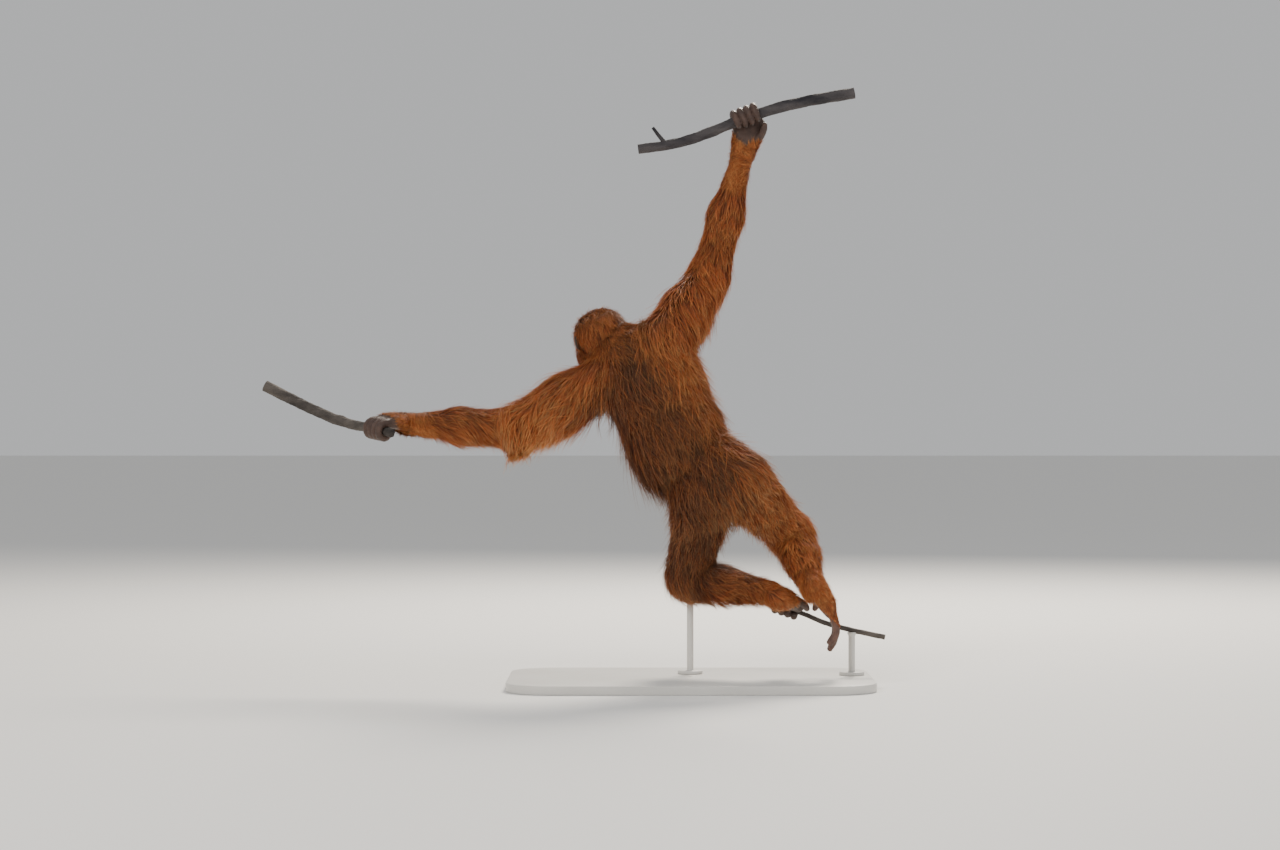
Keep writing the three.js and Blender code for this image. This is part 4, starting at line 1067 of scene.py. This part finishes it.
def comb(roots):
    """Walks each hair over the skin along the lie of the coat, then lifts it off.

    Gives its points, the way to its side and away from the skin at each, the nearest form,
    and whether it is a stray hair.
    """
    count = len(roots)
    facts, _, nearest = hair_facts(roots)
    depth, length, _, hang = facts.T
    thin = 1 - 0.75 * bare_here(roots)
    small = 1 - 0.45 * smooth(0.02, 0.6, bare_here(roots))
    length = length * rng.uniform(0.72, 1.18, count) * small
    depth = depth * rng.uniform(0.55, 1.0, count) * thin
    stray = rng.random(count) < STRAY_SHARE
    lift = rng.uniform(1.2, 2.1, count)
    depth = depth * np.where(stray, lift, 1.0)
    hang = hang * rng.uniform(0.25, 1.35, count)
    swirl = 0.26 * np.sin(roots[:, 0] * 0.045 + 1.3) * np.sin(roots[:, 2] * 0.038)
    swirl = swirl + rng.normal(0, 1, count) * np.where(stray, 0.34, 0.13)
    p = roots.copy()
    heading = None
    path, normals, sides = [], [], []
    for station in range(STATIONS):
        n = grow_direction(p)
        facts, lie, _ = hair_facts(p)
        way = lie - np.stack([np.zeros(count), np.zeros(count), facts[:, 2]], axis=1)
        way = unit(way - n * np.sum(way * n, axis=1)[:, None])
        way = unit(way + np.cross(n, way) * swirl[:, None])
        heading = way if heading is None else unit(heading * 0.5 + way * 0.5)
        heading = unit(heading - n * np.sum(heading * n, axis=1)[:, None])
        path.append(p.copy())
        normals.append(n)
        sides.append(unit(np.cross(n, heading)))
        if station + 1 < STATIONS:
            for _ in range(2):
                p = p + heading * (length / (STATIONS - 1) / 2)[:, None]
                p = p - n * animal_distance(p)[:, None]
    lifted = []
    wave = rng.uniform(0, PHASE_RANGE, count)
    for s, p, n, side in zip(SHARES, path, normals, sides):
        height = -1.5 + depth * np.where(stray, s**1.25, 0.1 * s + 0.9 * s**0.75)
        under = smooth(-0.15, 0.75, -n[:, 2])
        drop = hang * thin * s * s * (0.25 + 0.75 * under)
        curl = side * (2.4 * s * np.sin(wave + 5.5 * s))[:, None]
        point = p + n * height[:, None] + curl
        point[:, 2] -= drop
        lifted.append(point)
    return np.stack(lifted, axis=1), np.stack(sides, axis=1), np.stack(normals, axis=1), nearest, stray


def gather_clumps(points, roots, stray, share):
    """Draws the tips of neighbouring hairs together into pointed locks. Stray hairs stay apart."""
    centres = rng.choice(len(roots), size=len(roots) // share, replace=False)
    tree = kdtree.KDTree(len(centres))
    for i, c in enumerate(centres):
        tree.insert(roots[c], i)
    tree.balance()
    near = np.array([centres[tree.find(r)[1]] for r in roots])
    offset = points[near] - points
    hold = rng.uniform(0.25, 0.72, len(roots))[near] * np.where(stray, 0.15, 1.0)
    hold *= np.where(head_distance(roots) < 6, 0.55, 1.0)
    pull = hold[:, None] * SHARES[None, :] ** 1.4
    return points + offset * pull[:, :, None], near


TILES = 5


def unwrap_place(points, nearest):
    """Where a root lies on an unwrap of the skin: a tile for each form, round it and along it."""
    place = np.zeros((len(points), 2))
    forms = [(c, vec(c) + SPINE_DOWN * 100) for c, _ in TRUNK]
    forms += [(a, b) for _, _, a, b, _, _ in [NECK, *LIMBS]]
    forms.append((in_head(0, 0, 90), in_head(0, 0, -100)))
    for i, (a, b) in enumerate(forms):
        here = nearest == i if i + 1 < len(forms) else nearest >= i
        if not here.any():
            continue
        a, b = vec(a), vec(b)
        axes = frame_of(b - a, (0.2, 1, 0.1))
        offset = points[here] - a
        turn = np.arctan2(offset @ axes[0], offset @ axes[1]) / FULL_TURN + 0.5
        along = np.clip((offset @ axes[2]) / np.linalg.norm(b - a) * 0.5 + 0.25, 0, 1)
        place[here, 0] = (i % TILES + 0.04 + 0.92 * turn) / TILES
        place[here, 1] = (i // TILES + 0.04 + 0.92 * along) / TILES
    return place


WIDTHS = np.array([0.75, 1.0, 0.95, 0.7, 0.0])


def tuft_mesh(points, sides, normals, half_width):
    """Three-sided tapered hairs: a flat underside and a low ridge, ending in a point."""
    count = len(points)
    rings = []
    for k in range(STATIONS - 1):
        wide = (half_width * WIDTHS[k])[:, None]
        rings += [
            points[:, k] - sides[:, k] * wide,
            points[:, k] + normals[:, k] * wide * 0.5,
            points[:, k] + sides[:, k] * wide,
        ]
    rings.append(points[:, -1])
    verts = np.stack(rings, axis=1)
    per = verts.shape[1]
    one = []
    for k in range(STATIONS - 2):
        for j in range(3):
            a, b = 3 * k + j, 3 * k + (j + 1) % 3
            one += [(a, a + 3, b), (b, a + 3, b + 3)]
    last = 3 * (STATIONS - 2)
    one += [(last + j, per - 1, last + (j + 1) % 3) for j in range(3)]
    faces = (np.array(one)[None] + (np.arange(count) * per)[:, None, None]).reshape(-1, 3)
    return verts.reshape(-1, 3), faces, per


def coat_piece(name, points, sides, normals, roots, nearest, tone, shade, half_width):
    verts, faces, per = tuft_mesh(points, sides, normals, half_width)
    piece = new_piece(name, verts, faces, HAIR, "coat")
    count = len(points)
    along = np.array([SHARES[k] for k in range(STATIONS - 1) for _ in range(3)] + [1.0])
    values = np.ones((count, per, 4))
    values[:, :, 0] = along
    values[:, :, 1] = tone[:, None]
    values[:, :, 2] = shade[:, None]
    paint(piece, "hair", values.reshape(-1, 4))
    uv = unwrap_place(roots, nearest)
    across = np.array([(j - 1) * 0.5 for _ in range(STATIONS - 1) for j in range(3)] + [0.0])
    patch = uv[:, None, :] + 0.003 * np.stack([across, along - 0.5], axis=1)[None]
    layer = piece.data.uv_layers.new(name="OFBake")
    layer.data.foreach_set("uv", patch.reshape(-1, 2)[faces.ravel()].astype(np.float32).ravel())


# The skin is hair-coloured where the coat covers it and bare elsewhere, and warmer round the eyes,
# on the lips and on the right foot.
local_head = (skin_verts - vec(SKULL)) @ SKULL_FRAME.T
on_body = np.arange(len(skin_verts)) < len(BODY_SKIN[0])
bareness = np.where(on_body, 0, bare_here(skin_verts))
ear_near = np.hypot(np.abs(local_head[:, 0]) - 74, local_head[:, 1] + 2)
bareness = np.maximum(bareness, smooth(30, 20, ear_near) * (np.abs(local_head[:, 2] - 4) < 26))
around_eyes = 0
for side in (-1, 1):
    gone = np.linalg.norm(skin_verts - in_head(side * EYE[0], EYE[1] + 8, EYE[2]), axis=1)
    around_eyes = around_eyes + np.exp(-((gone / 19) ** 2))
on_paws = np.arange(len(skin_verts)) >= len(BODY_SKIN[0]) + len(HEAD_SKIN[0])
lips = smooth(14, 3, np.abs(local_head[:, 2] - MOUTH_UP)) * smooth(70, 95, local_head[:, 1])
muzzle = smooth(60, 110, local_head[:, 1])
right_foot = smooth(300, 330, skin_verts[:, 0]) * (skin_verts[:, 2] < 320)
warmth = np.clip(1.1 * around_eyes + 0.7 * lips + 0.2 * muzzle, 0, 1)
warmth = np.where(on_paws, 0.35 + 0.6 * right_foot, warmth)
# The second number is the coat's darkness: darker hair with painted shade and shadow.
paint(skin, "skin", np.stack([bareness, shade_at(skin_verts), warmth, np.ones(len(skin_verts))], axis=1))


COUNT, STOUTER = ((68000, 1.0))
HAIRS_PER_CLUMP = 11
roots = coat_roots(COUNT)
points, sides, normals, nearest, stray = comb(roots)
points, near = gather_clumps(points, roots, stray, HAIRS_PER_CLUMP)
tone = 0.46 + 0.2 * rng.normal(0, 1, len(roots))[near] + 0.15 * rng.normal(0, 1, len(roots))
# Stray hairs are painted paler, a painted glow of back light through them.
tone = np.clip(tone + 0.22 * stray, 0, 1)
# Painted light: the undersides of the arms and the stray hairs are painted lighter, a painted glow of back
# light through the hair.
under_arm_glow = smooth(0.1, 0.8, -normals[:, 0, 2]) * np.isin(nearest, range(4, 12))
shade = shade_at(roots) - 0.25 * under_arm_glow - 0.35 * stray
shade = np.clip(shade + rng.normal(0, 0.1, len(roots)), 0, 1)
fine = np.clip(hair_facts(roots)[0][:, 1] / 100, 0.4, 1.1)
half_width = rng.uniform(1.0, 2.0, len(roots)) * fine * STOUTER * np.where(stray, 0.55, 1.0)
# The pieces of the coat, by the numbers of the forms that their hair grows on.
REGIONS = {
    "trunk_upper": (0, 3),
    "trunk_lower": (1, 2),
    "arm_left": (4, 5, 6, 7),
    "arm_right": (8, 9, 10, 11),
    "leg_left": (12, 13, 14),
    "leg_right": (15, 16, 17),
    "head": (18,),
    "paws": (19, 20, 21, 22),
}
MOST_TUFTS = 9000
for region, forms in REGIONS.items():
    chosen = np.flatnonzero(np.isin(nearest, forms))
    chosen = chosen[np.argsort(roots[chosen, 2])]
    for i, here in enumerate(np.array_split(chosen, math.ceil(len(chosen) / MOST_TUFTS))):
        details = (points, sides, normals, roots, nearest, tone, shade, half_width)
        coat_piece(f"coat_{region}_{i + 1}", *(d[here] for d in details))


# Perches
def tube(route, radii, around, steps, rough, seed):
    """A round length of wood with low lengthwise ridges and a few knots, closed at both ends.

    Its two end radii, the points round it and along it, how rough it is, and the seed of its draws.
    """
    centres = np.array(curve(route, steps))
    along = unit(np.gradient(centres, axis=0))
    across = np.array([0, 1, 0]) - along * along[:, 1:2]
    across = unit(across)
    over = np.cross(along, across)
    draw = np.random.default_rng(seed)
    turn = np.linspace(0, FULL_TURN, around, endpoint=False)
    t = np.linspace(0, 1, steps)[:, None]
    radius = radii[0] + (radii[1] - radii[0]) * t + np.zeros((1, around))
    for _ in range(7):
        k, f, phase = draw.integers(2, 9), draw.uniform(2, 16), draw.uniform(0, PHASE_RANGE)
        radius = radius * (1 + rough * 0.3 * np.sin(k * turn[None] + f * t * PHASE_RANGE + phase))
    winding = 2.2 * np.sin(t * 23 + seed) + 1.3 * np.sin(t * 61)
    ridges = np.abs(np.sin(0.5 * around / 5 * turn[None] + winding))
    cracks = np.sin(t * 260 + 3 * np.sin(turn[None] * 3 + seed)) * np.sin(turn[None] * 5 + t * 40)
    radius = radius * (1 + rough * (0.55 * (0.6 - ridges) + 0.3 * cracks))
    for _ in range(4):
        at, angle = draw.uniform(0.05, 0.95), draw.uniform(0, PHASE_RANGE)
        gap = np.angle(np.exp(1j * (turn[None] - angle)))
        radius = radius * (1 + 0.16 * np.exp(-(((t - at) * 30) ** 2) - (gap * 1.5) ** 2))
    verts = centres[:, None] + radius[..., None] * (
        across[:, None] * np.cos(turn)[None, :, None] + over[:, None] * np.sin(turn)[None, :, None]
    )
    verts = verts.reshape(-1, 3)
    faces = ring_faces(steps, around)
    caps = []
    for ring, point in ((0, centres[0]), (steps - 1, centres[-1])):
        first = len(verts) + len(caps) * around
        inner = point + (verts[ring * around : (ring + 1) * around] - point) * 0.02
        caps.append(inner)
        for j in range(around):
            k = (j + 1) % around
            quad = (first + j, first + k, ring * around + k, ring * around + j)
            faces.append(quad if ring == 0 else quad[::-1])
    return np.concatenate([verts, *caps]), np.array(faces)


branch_parts = [
    tube(BRANCH_ROUTE, (BRANCH_R * 0.82, BRANCH_R * 0.97), 50, 320, 0.05, 3),
    tube(STUB_ROUTE, (6.4, 4.2), 24, 40, 0.06, 4),
]
branch = new_piece("branch", *join_parts(branch_parts), DARK_BARK, "bark")
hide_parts("perch_branch")
vine_tube = tube(VINE_ROUTE, (VINE_R * 1.2, VINE_R * 0.93), 46, 260, 0.05, 5)
vine = new_piece("vine", *vine_tube, VINE_BARK, "bark")
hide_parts("perch_vine")
twig_tube = tube(TWIG_ROUTE, (TWIG_R * 0.88, TWIG_R), 30, 200, 0.06, 6)
twig = new_piece("twig", *twig_tube, VINE_BARK, "bark")
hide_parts("perch_twig")


# Stand
BASE_TOP = 24


def turned(profile, centre, around=56):
    """A solid turned about an upright axis, from the outline's radius and height."""
    turn = np.linspace(0, FULL_TURN, around, endpoint=False)
    x, y = np.cos(turn), np.sin(turn)
    rings = [
        np.stack([centre[0] + r * x, centre[1] + r * y, np.full(around, z)], axis=1) for r, z in profile
    ]
    return np.concatenate(rings), np.array(ring_faces(len(profile), around))


def rounded(corner, start, stop, radius, count=4):
    angles = np.linspace(start, stop, count)
    return [(corner[0] + radius * math.cos(a), corner[1] + radius * math.sin(a)) for a in angles]


def rod_profile(top, pad):
    """A rod on a round foot, with a small pad on its top: radius and height from the base up."""
    low = BASE_TOP + 0.3
    return [
        (0.2, low), (33, low), (34, low + 1),
        *rounded((32, low + 7), 0, math.pi / 2, 2),
        *rounded((11.5, low + 11.5), -math.pi / 2, -math.pi, 2.5),
        (9, low + 14), (9, top - 12),
        *rounded((11.5, top - 10.5), math.pi, math.pi / 2 + 0.4, 2.5),
        (pad - 1, top - 4.6), (pad, top - 4), (pad, top - 0.6), (pad - 0.8, top), (0.2, top),
    ]


def base_rings():
    """A slab with round corners and softened edges."""
    levels = [(4, 0), (0.6, 1.0), (0, 4), (0, 20), (0.5, 22.4), (1.8, 23.6), (4, BASE_TOP)]
    rings = []
    for inset, z in levels:
        x, y, r = 490 - inset, 300 - inset, 120 - inset
        ring = []
        for right, back, start in ((1, 1, 0), (-1, 1, 90), (-1, -1, 180), (1, -1, 270)):
            corner = (right * (x - r), back * (y - r))
            for a in np.radians(np.linspace(start, start + 90, 17)):
                ring.append((corner[0] + r * math.cos(a), corner[1] + r * math.sin(a), z))
        rings.append(ring)
    rings.insert(0, [(p[0] * 0.01, p[1] * 0.01, 0) for p in rings[0]])
    rings.append([(p[0] * 0.01, p[1] * 0.01, BASE_TOP) for p in rings[-1]])
    faces = ring_faces(len(rings), len(rings[0]))
    return np.array([p for ring in rings for p in ring]), np.array(faces)


def soften(piece):
    """Smooth shading that keeps the sharp edges."""
    piece.data.set_sharp_from_angle(angle=math.radians(35))


base = new_piece("base_slab", *base_rings(), STAND, "stand")
soften(base)
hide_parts("stand_base")
for name, centre, top, pad in (("knee", (2, 92), 243, 26), ("twig", (440, 46), 140.5, 12)):
    rod = new_piece(f"rod_{name}", *turned(rod_profile(top, pad), centre), STAND, "stand")
    soften(rod)
    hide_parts(f"stand_rod_{name}")


# Floor, lights and camera
def stage_floor():
    material, shader = new_material("studio_floor", 0.7, specular=0.2)
    shader.inputs["Base Color"].default_value = (0.78, 0.77, 0.75, 1)
    mesh = bpy.data.meshes.new("floor")
    mesh.from_pydata([(-60, -60, 0), (60, -60, 0), (60, 60, 0), (-60, 60, 0)], [], [(0, 1, 2, 3)])
    mesh.materials.append(material)
    floor = bpy.data.objects.new("floor", mesh)
    bpy.context.scene.collection.objects.link(floor)


def area_light(name, at, aim, size, power, colour):
    light = bpy.data.lights.new(name, "AREA")
    light.shape, light.size, light.energy, light.color = "DISK", size, power, colour
    lamp = bpy.data.objects.new(name, light)
    z = unit(vec(at) - vec(aim))
    x = unit(np.cross((0, 0, 1), z))
    y = np.cross(z, x)
    lamp.matrix_world = Matrix([[x[i], y[i], z[i], at[i]] for i in range(3)] + [[0, 0, 0, 1]])
    bpy.context.scene.collection.objects.link(lamp)


stage_floor()
area_light("key", (-3.0, -4.4, 4.6), (0, 0, 0.8), 2.6, 210, (1, 0.97, 0.93))
area_light("rim", (1.2, 4.4, 4.6), (-0.1, 0, 0.9), 2.2, 640, (1, 0.92, 0.8))
area_light("fill", (4.6, -3.0, 2.0), (0, 0, 0.8), 3.2, 60, (0.93, 0.96, 1))
world = bpy.data.worlds.new("studio")
world.use_nodes = True
world.node_tree.nodes["Background"].inputs["Color"].default_value = (0.86, 0.87, 0.88, 1)
world.node_tree.nodes["Background"].inputs["Strength"].default_value = 0.62
bpy.context.scene.world = world

# The camera looks level along +Y. Its distance and the width it sees at the animal are in metres.
SENSOR, DISTANCE, SEEN_WIDTH = 36, 8, 3.456
camera = bpy.data.cameras.new("camera")
camera.sensor_width = SENSOR
camera.lens = SENSOR * DISTANCE / SEEN_WIDTH
camera.clip_end = 100
eye = bpy.data.objects.new("camera", camera)
eye.location = (-0.135, -DISTANCE, 0.703)
eye.rotation_euler = (math.pi / 2, 0, 0)
bpy.context.scene.collection.objects.link(eye)
bpy.context.scene.camera = eye
